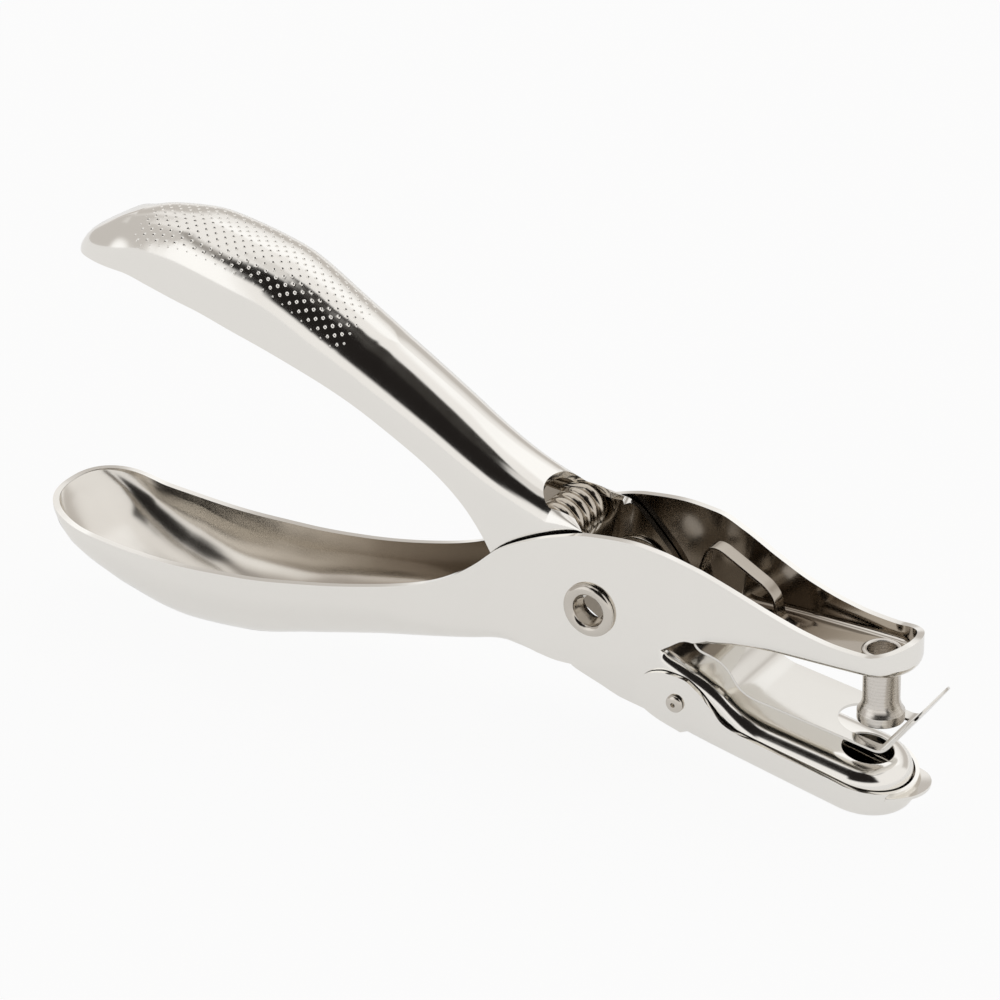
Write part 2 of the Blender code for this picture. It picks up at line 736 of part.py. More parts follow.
def main():
    clear_scene()
    punch_lever = make_punch_lever()
    die_lever = make_die_lever()
    punch_pin = make_punch_pin()
    eyelets = [make_eyelet("pivot_eyelet_near", -1), make_eyelet("pivot_eyelet_far", 1)]
    paper_leaf = make_paper_leaf()
    spring = make_spring()
    chip_tray = make_chip_tray()
    pins = [make_tray_pin("tray_pin_near", -1), make_tray_pin("tray_pin_far", 1)]
    for item in (die_lever, chip_tray, *pins):
        turn_open(item)
    pieces = [punch_lever, die_lever, chip_tray, punch_pin, paper_leaf, spring, *eyelets, *pins]
    bpy.context.view_layer.update()
    for item in (punch_lever, chip_tray):
        print(item.name, "reaches down to, mm:", round(corners_of([item])[0][2] / METRE, 3))
    low, high = corners_of(pieces)
    pivot = Vector((-(low[0] + high[0]) / 2, 0, -low[2]))
    print("pivot above the middle of the foot, mm:", [round(part / METRE, 4) for part in pivot])
    for item in pieces:
        finish(item)
        item.location = pivot
    pin_axis = Vector((tray_pin[0], 0, tray_pin[1])) * METRE
    set_origin(chip_tray, Matrix.Rotation(open_angle, 3, "Y") @ pin_axis)


main()
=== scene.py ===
"""The look of the single hole punch: finer meshes for every piece, bright nickel and steel,
a white sweep, a studio made of light and dark fields, and the photograph's camera.

Lengths are in millimetres, with the pivot as the origin, until a mesh is finished. Then it
is scaled to metres and put where the frame says the pivot is. +X points to the nose, +Y runs
along the pivot and +Z is up. The upper handle, the lower jaw and the chip tray are drawn
with the jaws closed and then turned open.
"""

import json
import math

import bmesh
import bpy
import numpy as np
from mathutils import Matrix, Vector


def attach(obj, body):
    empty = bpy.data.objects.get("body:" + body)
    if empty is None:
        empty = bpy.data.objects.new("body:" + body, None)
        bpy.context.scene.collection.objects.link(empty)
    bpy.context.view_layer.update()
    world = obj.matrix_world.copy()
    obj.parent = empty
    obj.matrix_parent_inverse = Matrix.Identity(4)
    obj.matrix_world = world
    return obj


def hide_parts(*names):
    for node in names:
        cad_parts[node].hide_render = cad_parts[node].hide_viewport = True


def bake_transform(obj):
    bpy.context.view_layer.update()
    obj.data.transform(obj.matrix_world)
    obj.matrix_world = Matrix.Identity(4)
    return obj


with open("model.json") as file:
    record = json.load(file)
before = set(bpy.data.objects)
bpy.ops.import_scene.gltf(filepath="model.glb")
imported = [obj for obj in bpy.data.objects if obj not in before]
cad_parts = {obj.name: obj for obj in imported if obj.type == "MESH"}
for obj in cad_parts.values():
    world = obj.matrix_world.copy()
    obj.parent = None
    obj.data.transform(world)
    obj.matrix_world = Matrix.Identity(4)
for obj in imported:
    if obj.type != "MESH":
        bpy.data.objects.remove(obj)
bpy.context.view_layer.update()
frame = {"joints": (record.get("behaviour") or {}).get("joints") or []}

METRE = 0.001
squeeze = next(joint for joint in frame["joints"] if joint["name"] == "squeeze")
pivot = Vector(squeeze["pos_m"])
open_angle = math.radians(squeeze["range_deg"][1])

# Camera, fitted to the photograph with the tool tilted a little about the pivot
view_azimuth = math.radians(32.17)
view_elevation = math.radians(27.66)
view_distance = 500.0
tool_tilt = 0.024
photo_width = 1000
photo_centre = 500.0
focal_pixels = 3928.0
pivot_pixel = (619.2, 585.6)
sensor_width = 36.0

# Sheet, gaps and edges
lever_sheet = 0.9
tray_sheet = 0.5
leaf_sheet = 0.35
slide_gap = 0.2
seat_gap = 0.12
lever_edge_round = 0.12
thin_edge_round = 0.06

# Punch lever: lower handle, cheeks and upper jaw
cheek_half = 7.25
jaw_nose_half = 5.3
jaw_nose_length = 5.0
spoon_half = 9.4
spoon_cap_length = 9.5
spoon_cap_x = -79.2
spoon_bluntness = 0.84
punch_x = 37.5
jaw_floor = -0.6
jaw_corner = 1.5
floor_opening = (-13.0, 16.2)
floor_fades = (5.0, 1.6)
punch_lever_rim = [
    (-89.5, -6.5), (-85.0, -7.5), (-78.0, -9.1), (-66.0, -9.8), (-54.0, -9.2), (-43.6, -7.8),
    (-32.5, -5.4), (-25.0, -3.0), (-20.5, -0.6), (-17.0, 2.0), (-14.3, 4.4), (-11.5, 6.1),
    (-5.6, 8.7), (0.2, 10.3), (6.0, 10.8), (10.5, 10.4), (15.0, 9.1), (20.3, 6.9),
    (25.0, 5.0), (30.0, 3.5), (34.0, 2.8), (37.5, 2.6), (40.0, 3.0), (42.5, 3.8),
]
punch_lever_base = [
    (-89.5, -7.8), (-87.0, -9.8), (-82.0, -14.2), (-74.0, -18.2), (-64.0, -20.3),
    (-55.0, -19.8), (-45.3, -17.6), (-36.0, -15.1), (-28.0, -12.8), (-19.0, -10.1),
    (-13.5, -8.6), (-9.0, -8.4), (-5.0, -8.8), (-1.5, -8.6), (2.2, -7.6), (7.5, -5.1),
    (11.2, -2.4), (13.8, -1.0), (16.2, -1.3), (20.0, -0.9), (26.0, jaw_floor),
    (42.5, jaw_floor),
]
spoon_width_shares = [
    (-79.2, 0.907), (-72.0, 1.0), (-62.0, 0.907), (-52.0, 0.674), (-42.0, 0.349),
    (-32.0, 0.116), (-22.0, 0.0),
]
jaw_width_shares = [
    (11.0, 0.0), (15.5, 0.282), (20.0, 0.59), (25.0, 0.795), (34.0, 0.923), (punch_x, 1.0),
]
punch_lever_corner = [
    (-89.5, 6.0), (-78.0, 6.4), (-66.0, 6.4), (-50.0, 5.8), (-35.0, 4.6), (-20.0, 2.0),
    (-13.0, jaw_corner), (16.2, jaw_corner), (42.5, jaw_corner),
]

# Die lever: upper handle, inner cheeks and lower jaw, drawn with the jaws closed
die_half = cheek_half - lever_sheet - slide_gap
die_height = -7.5
crown_cap_x = -77.0
crown_cap_length = 9.4
crown_half = 7.5
neck_step = 0.65
neck_half = die_half - neck_step
crown_opening = (-9.0, 10.4)
crown_fades = (5.5, 1.0)
mouth_depth_x = -11.9
mouth_wall = 1.1
mouth_half = neck_half - mouth_wall
die_lever_top = [
    (-86.4, 18.2), (-84.6, 20.2), (-82.0, 22.3), (-78.5, 24.8), (-73.0, 27.2), (-65.8, 28.5),
    (-55.2, 27.8), (-44.4, 24.3), (-34.6, 20.5), (-27.0, 17.2), (-21.3, 14.6), (-16.5, 12.7),
    (-12.0, 11.4), (-9.0, 10.7), (-6.5, 10.1), (-4.0, 9.4), (-1.8, 8.6), (0.8, 6.8),
    (4.5, 3.8), (8.2, -0.3), (10.4, -2.5), (13.0, -3.3), (16.5, -4.2), (19.0, -5.2),
    (21.0, -6.3), (23.0, -7.1), (25.5, die_height), (44.0, die_height),
]
die_lever_edge = [
    (-86.4, 16.6), (-82.0, 17.6), (-73.0, 18.4), (-64.1, 18.3), (-56.4, 17.5), (-48.0, 16.1),
    (-39.7, 14.2), (-31.7, 11.4), (-25.5, 8.7), (-21.0, 5.8), (-17.6, 2.5), (-15.2, -0.6),
    (-12.6, -3.8), (-9.2, -6.9), (-5.0, -9.0), (-2.2, -10.0), (2.5, -10.9), (6.0, -11.5),
    (12.5, -11.6), (15.2, -11.3), (18.0, -11.0), (26.0, -11.0), (44.0, -11.3),
]
crown_width_shares = [
    (-79.0, 0.05), (-77.0, 0.05), (-72.0, 0.42), (-65.0, 0.82), (-58.0, 0.95),
    (-50.0, 0.8), (-42.0, 0.58), (-34.0, 0.38), (-26.0, 0.2), (-19.0, 0.07), (-12.0, 0.0), (-4.5, 0.0),
]
die_half_points = [(-1.2, die_half), (punch_x, die_half)]
die_lever_corner = [
    (-86.4, 2.6), (-75.0, 5.0), (-60.0, 5.6), (-40.0, 5.4), (-25.0, 4.4), (-9.0, 3.0),
    (10.4, 1.6), (20.0, 1.8), (26.0, 2.3), (44.0, 2.3),
]

# Dimples pressed into the rear of the crown, in staggered rows
dimple_cell = 0.76
dimple_radius = 0.26
dimple_depth = 0.12
dimple_stretch = (-77.0, -39.5)
dimple_plain_from = -36.0
dimple_rows = 11
dimple_fade = 3.0
least_dimple_share = 0.45
dimple_rings = [(1.0, 0.0), (0.66, 0.55), (0.28, 1.0)]

# Punch pin, a turned piece
punch_radius = 3.0
punch_stem_radius = 2.35
punch_tenon_radius = 2.15
punch_collar_radius = 2.6
punch_bore_radius = 1.9
punch_bore_depth = 2.4
punch_bottom = -8.4
punch_head_height = 1.2
punch_flare_height = 1.8
punch_hollow_depth = 0.35
punch_hollow_share = 0.86
punch_collar_height = 0.25
punch_collar_ridge_share = 1.18
punch_round = 0.12
die_clearance = 0.3
die_edge_round = 0.2

# Pivot eyelets, one in each pair of cheeks
eyelet_barrel_radius = 2.65
eyelet_bore_radius = 2.1
eyelet_head_radius = 3.65
eyelet_head_thick = 0.78
eyelet_clinch_radius = 4.8
eyelet_clinch_thick = 0.45
eyelet_throat_radius = 1.6
eyelet_throat_depth = 1.1
eyelet_inner_radius = 2.35
eyelet_lip_height = 0.12
eyelet_undercut = 0.15
eyelet_round = 0.2

# Paper leaf: points of (x, z, half width) from the collar, over the throat and over the die
leaf_level = 0.62
leaf_plate_half = 5.3
leaf_hook_half = 1.05
leaf_top_half = 3.2
leaf_slot_half = 3.6
leaf_slot = (32.0, 39.7)
leaf_bend_radius = 0.9
leaf_upper_path = [
    (41.2, leaf_level, 2.0), (40.3, leaf_level, 2.8), (38.9, leaf_level, leaf_top_half),
    (35.0, leaf_level, leaf_top_half), (30.0, leaf_level, 2.2), (24.8, leaf_level, 1.4),
    (23.4, 1.6, leaf_hook_half), (22.8, 4.6, leaf_hook_half), (21.7, 5.9, leaf_hook_half),
    (15.1, 9.5, leaf_hook_half), (13.9, 9.5, leaf_hook_half), (13.1, 8.6, leaf_hook_half),
    (12.4, 6.2, 1.3), (12.5, 0.6, 3.2), (13.3, -1.8, 4.6),
]
leaf_lower_path = [
    (13.3, -1.8, 4.6), (14.4, -2.8, leaf_plate_half), (17.6, -3.5, leaf_plate_half),
    (18.9, -4.5, leaf_plate_half), (20.3, -6.6, leaf_plate_half), (22.0, -7.5, leaf_plate_half),
    (39.8, -10.1, leaf_plate_half), (40.9, -9.5, leaf_plate_half), (44.4, -4.6, 4.9),
    (44.8, -4.0, 4.0), (45.0, -3.7, 2.8),
]

# Wound spring between the two handles
wire_radius = 0.72
coil_radius = 2.75
coil_turns = 4.0
coil_side_gap = 0.36
coil_half = neck_half - lever_sheet - coil_side_gap - wire_radius
coil_centre = (-7.4, 7.7)
coil_enter = math.radians(-43.0)
coil_leave = math.radians(84.0)
lower_leg = [(-18.6, -0.88 * coil_half, -7.6), (-10.7, -0.93 * coil_half, 0.4)]
upper_leg = [
    (-9.4, 0.88 * coil_half, 10.3), (-12.4, 0.77 * coil_half, 10.8),
    (-18.0, 0.55 * coil_half, 13.6), (-24.0, 0.44 * coil_half, 17.2),
]
leg_end_radius_share = 0.82

# Chip tray, drawn with the jaws closed, and its two pins
tray_half = die_half + slide_gap + tray_sheet
tray_corner = 1.3
tray_floor_start = 15.6
tray_rim = [
    (7.9, -7.7), (8.4, -6.6), (9.6, -5.5), (11.6, -4.7), (14.0, -4.5), (16.2, -5.3),
    (18.6, -7.0), (20.6, -8.4), (22.5, -8.8), (34.8, -9.3), (44.4, -9.8),
]
tray_base = [
    (7.9, -9.6), (8.4, -10.4), (9.6, -11.1), (11.6, -11.7), (14.4, -12.1), (16.0, -12.3),
    (26.3, -12.9), (34.5, -13.3), (44.4, -13.7),
]
tray_pin = (13.6, -8.3)
tray_pin_radius = 0.8
tray_pin_head_radius = 1.2
tray_pin_head_thick = 0.4
tray_pin_head_rise = 0.45
tray_pin_hollow_radius = 0.32
tray_pin_undercut = 0.1
lip_length = 1.9
lip_rise = 0.9
lip_root = 0.1
lip_bite = 0.35
lip_below_rim = 0.6
lip_half_angle = math.radians(40.0)

# How finely the forms are drawn
web_lines = 4
corner_lines = 8
wall_lines = 9
profile_steps = 60
corner_power = 2.2
corner_spread = 1.2
most_corner_share = 0.85
cap_steps = 24
turned_steps = 96
bend_steps = 6
arch_steps = 40
dome_steps = 16
lip_steps = 32
coil_points_per_turn = 40
wire_sides = 20
merge_distance = 0.012
smooth_angle = math.radians(38.0)
edge_angle = math.radians(60.0)

# Colours, as linear values
nickel_colour = (0.900, 0.880, 0.840)
nickel_shade = (0.875, 0.855, 0.815)
inside_shade_stations = [
    # x, tint and gloss inside the stampings, from the handles to the nose: the tint is duller plating
    # darkened by painted shade, deepest about the pivot and the throat
    (-85.0, (0.80, 0.77, 0.72), 0.20), (-62.0, (0.70, 0.66, 0.60), 0.20),
    (-42.0, (0.48, 0.43, 0.37), 0.18), (-22.0, (0.34, 0.30, 0.25), 0.15),
    (14.0, (0.27, 0.235, 0.195), 0.12), (24.0, (0.36, 0.315, 0.265), 0.12),
    (34.0, (0.66, 0.62, 0.565), 0.10),
]
steel_colour = (0.720, 0.685, 0.640)
steel_shade = (0.690, 0.652, 0.605)
leaf_colour = (0.800, 0.780, 0.740)
leaf_shade = (0.760, 0.740, 0.700)
# Painted shade: the upper strip and the hook of the leaf, which lie down in the jaw and the throat, get a
# darker copy of the leaf's steel
hook_painted_shade_colour = (0.520, 0.475, 0.415)
hook_painted_shade_tone = (0.420, 0.375, 0.320)
# The wire's steel tone, made darker by painted shade for the throat it lies in
wire_colour_with_painted_shade = (0.640, 0.590, 0.520)
wire_tone_with_painted_shade = (0.520, 0.470, 0.400)
rivet_colour = (0.680, 0.640, 0.585)
rivet_shade = (0.610, 0.570, 0.515)
white = (1.0, 1.0, 1.0)

# Scales of the surface detail, per metre, and the height of the waves
cloud_scale = 90
rub_scale = 650
wave_scale = 120
wave_height = 0.0002


# ---- Outlines and profiles

def curve_through(points):
    """A smooth function of x through the points that never overshoots them."""
    x = np.array([point[0] for point in points], float)
    y = np.array([point[1] for point in points], float)
    step = np.diff(x)
    slope = np.diff(y) / step
    tangent = np.zeros(len(x))
    tangent[0] = slope[0]
    tangent[-1] = slope[-1]
    for i in range(1, len(x) - 1):
        if slope[i - 1] * slope[i] > 0:
            before = 2 * step[i] + step[i - 1]
            after = step[i] + 2 * step[i - 1]
            tangent[i] = (before + after) / (before / slope[i - 1] + after / slope[i])

    def value(at):
        at = min(max(at, x[0]), x[-1])
        i = min(int(np.searchsorted(x, at, side="right")) - 1, len(step) - 1)
        t = (at - x[i]) / step[i]
        left = (1 + 2 * t) * (1 - t) ** 2 * y[i] + t * (1 - t) ** 2 * step[i] * tangent[i]
        right = t * t * (3 - 2 * t) * y[i + 1] - t * t * (1 - t) * step[i] * tangent[i + 1]
        return left + right

    return value


def widths(shares, narrow, wide):
    """Half widths from one value towards another, by the share of the way at each x."""
    return [(x, narrow + (wide - narrow) * share) for x, share in shares]


def smoothstep(low, high, value):
    share = min(max((value - low) / (high - low), 0), 1)
    return share * share * (3 - 2 * share)


def faded(corner, opening, fades):
    """The corner size, which fades to nothing over the given lengths where the web is missing."""
    def value(x):
        if opening[0] < x < opening[1]:
            after = (x - opening[0]) / fades[0]
            before = (opening[1] - x) / fades[1]
            return corner(x) * max(0, 1 - min(after, before))
        return corner(x)
    return value


def spaced(stretches):
    """Stations along x: each stretch is (start, end, step)."""
    found = []
    for start, end, step in stretches:
        count = max(1, round((end - start) / step))
        found += [start + (end - start) * i / count for i in range(count)]
    found.append(stretches[-1][1])
    return found


def cross_section(reach, drop, corner):
    """A section from the middle of the web out and down to the free edge.

    It gives the distances out and down with the length along the section, and the lengths
    at which the flat web and the rounded corner end.
    """
    wide = min(corner * corner_spread, reach)
    tall = min(corner * corner_spread, drop * most_corner_share)
    out = [0]
    down = [0]
    for i in range(profile_steps + 1):
        angle = math.pi / 2 * i / profile_steps
        out.append(reach - wide + wide * max(math.sin(angle), 0) ** (2 / corner_power))
        down.append(tall - tall * max(math.cos(angle), 0) ** (2 / corner_power))
    out.append(reach)
    down.append(drop)
    out = np.array(out)
    down = np.array(down)
    length = np.concatenate([[0], np.cumsum(np.hypot(np.diff(out), np.diff(down)))])
    return out, down, length, (length[1], length[-2], length[-1])


def plain_lines(x, marks):
    """Lengths along the section at which lines run: across the web, round the corner, down."""
    flat, bend, total = marks
    web = np.linspace(0, flat, web_lines + 1)
    turn = np.linspace(flat, bend, corner_lines + 1)[1:]
    wall = np.linspace(bend, total, wall_lines + 1)[1:]
    return np.concatenate([web, turn, wall])


def crown_lines(x, marks):
    """Even lines over the dimpled rear of the crown, which turn into plain ones in front."""
    even = dimple_cell * np.arange(web_lines + corner_lines + 1)
    wall = np.linspace(even[-1], marks[-1], wall_lines + 1)[1:]
    share = smoothstep(dimple_stretch[1], dimple_plain_from, x)
    return np.concatenate([even, wall]) * (1 - share) + plain_lines(x, marks) * share


class Channel:
    """The middle surface of a stamped channel: a web with a rounded corner on each side."""

    def __init__(self, half, edge, web, corner, lines):
        self.half = half
        self.edge = edge
        self.web = web
        self.corner = corner
        self.lines = lines

    def side(self, x):
        return 1 if self.edge(x) > self.web(x) else -1

    def row(self, foot, inward, reach):
        """Points over the whole section whose free edge stands on foot."""
        drop = abs(self.edge(foot[0]) - self.web(foot[0]))
        out, down, length, marks = cross_section(reach, drop, self.corner(foot[0]))
        at = self.lines(foot[0], marks)
        outs = np.interp(at, length, out)
        downs = np.interp(at, length, down)
        near = []
        for step_out, step_down in zip(outs, downs):
            x = foot[0] + inward[0] * (reach - step_out)
            y = foot[1] + inward[1] * (reach - step_out)
            near.append((x, y, self.web(x) + self.side(foot[0]) * step_down))
        far = [(x, -y, z) for x, y, z in near]
        return near[:0:-1] + far

    def point(self, x, along):
        """The point a length along the straight section at x, negative on the near side."""
        drop = abs(self.edge(x) - self.web(x))
        out, down, length, _ = cross_section(self.half(x), drop, self.corner(x))
        y = np.interp(abs(along), length, out) * (1 if along > 0 else -1)
        z = self.web(x) + self.side(x) * np.interp(abs(along), length, down)
        return Vector((x, y, z))


def cap_feet(centre_x, length, bluntness, half, toward):
    """Feet round a closed end, from its tip to the side, with their way in to the centre."""
    feet = []
    for i in range(cap_steps):
        angle = math.pi / 2 * i / cap_steps
        along = length * math.cos(angle) ** bluntness
        foot = (centre_x + toward * along, -half * math.sin(angle) ** bluntness)
        reach = math.hypot(foot[0] - centre_x, foot[1])
        inward = ((centre_x - foot[0]) / reach, -foot[1] / reach)
        feet.append((foot, inward, reach))
    return feet


# ---- Mesh making

def object_from_bmesh(name, shape):
    mesh = bpy.data.meshes.new(name)
    shape.to_mesh(mesh)
    shape.free()
    item = bpy.data.objects.new(name, mesh)
    bpy.context.scene.collection.objects.link(item)
    return item


def bake(item):
    """Replaces the object's mesh with what its modifiers make of it, and removes them."""
    graph = bpy.context.evaluated_depsgraph_get()
    mesh = bpy.data.meshes.new_from_object(item.evaluated_get(graph))
    item.modifiers.clear()
    item.data = mesh


def combine(item, tool, operation):
    change = item.modifiers.new(operation.lower(), "BOOLEAN")
    change.operation = operation
    change.solver = "EXACT"
    change.object = tool
    bake(item)
    bpy.data.objects.remove(tool, do_unlink=True)


def thicken(item, thickness, offset=-1):
    """Makes a sheet of the skin. Its inner side takes the second material slot."""
    item.data.materials.append(None)
    item.data.materials.append(None)
    solid = item.modifiers.new("sheet", "SOLIDIFY")
    solid.material_offset = 1
    solid.thickness = thickness
    solid.offset = offset
    solid.use_even_offset = True
    solid.use_quality_normals = True
    bake(item)


def round_edges(item, radius):
    bevel = item.modifiers.new("edges", "BEVEL")
    bevel.width = radius
    bevel.segments = 2
    bevel.limit_method = "ANGLE"
    bevel.angle_limit = edge_angle
    bake(item)


def smooth(item):
    """Smooth shading that keeps flat faces flat and hard edges hard."""
    for face in item.data.polygons:
        face.use_smooth = True
    item.data.set_sharp_from_angle(angle=smooth_angle)
    weighted = item.modifiers.new("normals", "WEIGHTED_NORMAL")
    weighted.keep_sharp = True
    bake(item)


def place(item):
    """Scales a finished mesh to metres and carries it to the pivot of the frame."""
    item.data.transform(Matrix.Translation(pivot) @ Matrix.Scale(METRE, 4))


def turn_open(item):
    item.data.transform(Matrix.Rotation(open_angle, 4, "Y"))


def softened(points, radius):
    """The run of points with each inner corner turned into a short bend."""
    points = [Vector(point) for point in points]
    found = [points[0]]
    for before, corner, after in zip(points[:-2], points[1:-1], points[2:]):
        back = min(radius, (before - corner).length / 2)
        ahead = min(radius, (after - corner).length / 2)
        start = corner + (before - corner).normalized() * back
        end = corner + (after - corner).normalized() * ahead
        for i in range(bend_steps + 1):
            t = i / bend_steps
            found.append(start * (1 - t) ** 2 + corner * 2 * t * (1 - t) + end * t * t)
    found.append(points[-1])
    return found


def turned(name, profile, axis, centre):
    """A solid of revolution. The profile is (radius, height) pairs from the lower end up."""
    shape = bmesh.new()
    rings = []
    for radius, height in profile:
        if radius == 0:
            rings.append([shape.verts.new((0, 0, height))])
            continue
        ring = []
        for i in range(turned_steps):
            angle = 2 * math.pi * i / turned_steps
            ring.append(shape.verts.new((radius * math.cos(angle), radius * math.sin(angle), height)))
        rings.append(ring)
    pairs = list(zip(rings[:-1], rings[1:]))
    if profile[0][0] != 0:
        pairs.append((rings[-1], rings[0]))
    for lower, upper in pairs:
        for i in range(turned_steps):
            k = (i + 1) % turned_steps
            corners = [lower[i % len(lower)], lower[k % len(lower)]]
            corners += [upper[k % len(upper)], upper[i % len(upper)]]
            corners = list(dict.fromkeys(corners))
            if len(corners) > 2:
                shape.faces.new(corners)
    bmesh.ops.recalc_face_normals(shape, faces=shape.faces)
    turn = Vector((0, 0, 1)).rotation_difference(Vector(axis)).to_matrix().to_4x4()
    bmesh.ops.transform(shape, matrix=Matrix.Translation(centre) @ turn, verts=shape.verts)
    return object_from_bmesh(name, shape)


def drill(item, radius, axis, centre, depth):
    profile = [(0, -depth), (radius, -depth), (radius, depth), (0, depth)]
    combine(item, turned("drill", profile, axis, centre), "DIFFERENCE")


def drill_die(item):
    """The die hole, with its edge rounded where the punch goes in."""
    radius = punch_radius + die_clearance
    profile = [(0, -lever_sheet * 2), (radius, -lever_sheet * 2)]
    for i in range(bend_steps + 1):
        angle = math.pi / 2 * i / bend_steps
        wide = radius + die_edge_round * (1 - math.cos(angle))
        profile.append((wide, die_edge_round * (math.sin(angle) - 1)))
    profile += [(radius + die_edge_round, lever_sheet), (0, lever_sheet)]
    combine(item, turned("die", profile, (0, 0, 1), (punch_x, 0, die_height)), "DIFFERENCE")


def extruded(name, outline, bottom, top):
    """The prism over an outline in x and y."""
    shape = bmesh.new()
    lower = [shape.verts.new((x, y, bottom)) for x, y in outline]
    upper = [shape.verts.new((x, y, top)) for x, y in outline]
    shape.faces.new(lower)
    shape.faces.new(upper)
    for i in range(len(outline)):
        k = (i + 1) % len(outline)
        shape.faces.new((lower[i], lower[k], upper[k], upper[i]))
    bmesh.ops.recalc_face_normals(shape, faces=shape.faces)
    return object_from_bmesh(name, shape)


def channel_sheet(name, surface, stations, opening, caps):
    """The skin of a channel. It gives the object, the number of the first straight row and the middle line
    of the grid.
    """
    rows = []
    if caps[0]:
        feet = cap_feet(*caps[0], surface.half(caps[0][0]), -1)
        rows += [surface.row(*foot) for foot in feet]
    first = len(rows)
    rows += [surface.row((x, -surface.half(x)), (0, 1), surface.half(x)) for x in stations]
    if caps[1]:
        feet = cap_feet(*caps[1], surface.half(caps[1][0]), 1)
        rows += [surface.row(*foot) for foot in reversed(feet)]
    shape = bmesh.new()
    grid = [[shape.verts.new(point) for point in row] for row in rows]
    middle_line = len(rows[0]) // 2
    for i in range(len(grid) - 1):
        x = (rows[i][0][0] + rows[i + 1][0][0]) / 2
        for j in range(len(grid[0]) - 1):
            across = min(abs(j - middle_line), abs(j + 1 - middle_line))
            if opening[0] < x < opening[1] and across < web_lines:
                continue
            shape.faces.new((grid[i][j], grid[i + 1][j], grid[i + 1][j + 1], grid[i][j + 1]))
    bmesh.ops.remove_doubles(shape, verts=shape.verts, dist=merge_distance)
    bmesh.ops.recalc_face_normals(shape, faces=shape.faces)
    point_normals_out(shape)
    return object_from_bmesh(name, shape), first, middle_line


def point_normals_out(shape):
    """Makes the near wall's faces look away from the centre line."""
    shape.normal_update()
    near = [face for face in shape.faces if face.calc_center_median().y < 0]
    wall = max(near, key=lambda face: abs(face.normal.y) * face.calc_area())
    if wall.normal.y > 0:
        bmesh.ops.reverse_faces(shape, faces=shape.faces)


# ---- Dimples

def dimple_size(x, along):
    """The share of the full size that a dimple has: it fades towards the ends of the field."""
    ends = min(x - dimple_stretch[0], dimple_stretch[1] - x)
    sides = dimple_rows * dimple_cell - abs(along)
    return smoothstep(0, dimple_fade, ends) * smoothstep(0, dimple_cell * 3, sides)


def press_dimples(item, surface, stations):
    """Replaces every second cell of the crown's outside with a small round hollow."""
    shape = bmesh.new()
    shape.from_mesh(item.data)
    shape.verts.ensure_lookup_table()
    nearest = {}
    for vert in shape.verts:
        nearest[tuple(round(part, 3) for part in vert.co)] = vert
    for i in range(len(stations) - 1):
        low, high = stations[i], stations[i + 1]
        if high > dimple_stretch[1]:
            break
        for j in range(-dimple_rows, dimple_rows):
            if (i + j) % 2:
                continue
            middle = ((low + high) / 2, (j + 0.5) * dimple_cell)
            size = dimple_size(*middle)
            if size < least_dimple_share:
                continue
            places = [(low, j), (high, j), (high, j + 1), (low, j + 1)]
            corners = []
            for x, line in places:
                point = surface.point(x, line * dimple_cell)
                corners.append(nearest.get(tuple(round(part, 3) for part in point)))
            if None in corners:
                continue
            face = shape.faces.get(corners)
            if face:
                shape.faces.remove(face)
                press_one(shape, surface, corners, middle, size)
    bmesh.ops.recalc_face_normals(shape, faces=shape.faces)
    shape.to_mesh(item.data)
    shape.free()


def press_one(shape, surface, corners, middle, size):
    step = dimple_cell / 20
    here = surface.point(*middle)
    ahead = surface.point(middle[0] + step, middle[1]) - here
    beside = surface.point(middle[0], middle[1] + step) - here
    outward = ahead.cross(beside).normalized()
    if outward.z < 0:
        outward.negate()
    rings = []
    for radius_share, depth_share in dimple_rings:
        ring = []
        for k in range(8):
            angle = math.radians(225 + 45 * k)
            reach = dimple_radius * size * radius_share
            x = middle[0] + reach * math.cos(angle)
            along = middle[1] + reach * math.sin(angle)
            point = surface.point(x, along) - outward * dimple_depth * size * depth_share
            ring.append(shape.verts.new(point))
        rings.append(ring)
    for k in range(4):
        outer = rings[0]
        shape.faces.new((
            corners[k], corners[(k + 1) % 4],
            outer[(2 * k + 2) % 8], outer[2 * k + 1], outer[2 * k],
        ))
    for outer, inner in zip(rings[:-1], rings[1:]):
        for k in range(8):
            n = (k + 1) % 8
            shape.faces.new((outer[k], outer[n], inner[n], inner[k]))
    shape.faces.new(rings[-1])


# ---- The pieces

def make_punch_lever():
    rear = widths(spoon_width_shares, cheek_half, spoon_half)
    front = widths(jaw_width_shares, cheek_half, jaw_nose_half)
    corner = faded(curve_through(punch_lever_corner), floor_opening, floor_fades)
    edge = curve_through(punch_lever_rim)
    web = curve_through(punch_lever_base)
    surface = Channel(curve_through(rear + front), edge, web, corner, plain_lines)
    stations = spaced([
        (spoon_cap_x, floor_opening[0], 0.9),
        (floor_opening[0], floor_opening[1] - floor_fades[1], 0.55),
        (floor_opening[1] - floor_fades[1], floor_opening[1], 0.16),
        (floor_opening[1], punch_x, 0.7),
    ])
    caps = ((spoon_cap_x, spoon_cap_length, spoon_bluntness), (punch_x, jaw_nose_length, 1))
    item, _, _ = channel_sheet("punch_lever_form", surface, stations, floor_opening, caps)
    thicken(item, lever_sheet)
    round_edges(item, lever_edge_round)
    drill(item, eyelet_barrel_radius + seat_gap, (0, 1, 0), (0, 0, 0), cheek_half * 2)
    stem_hole = punch_stem_radius + seat_gap
    drill(item, stem_hole, (0, 0, 1), (punch_x, 0, jaw_floor), lever_sheet * 2)
    return item


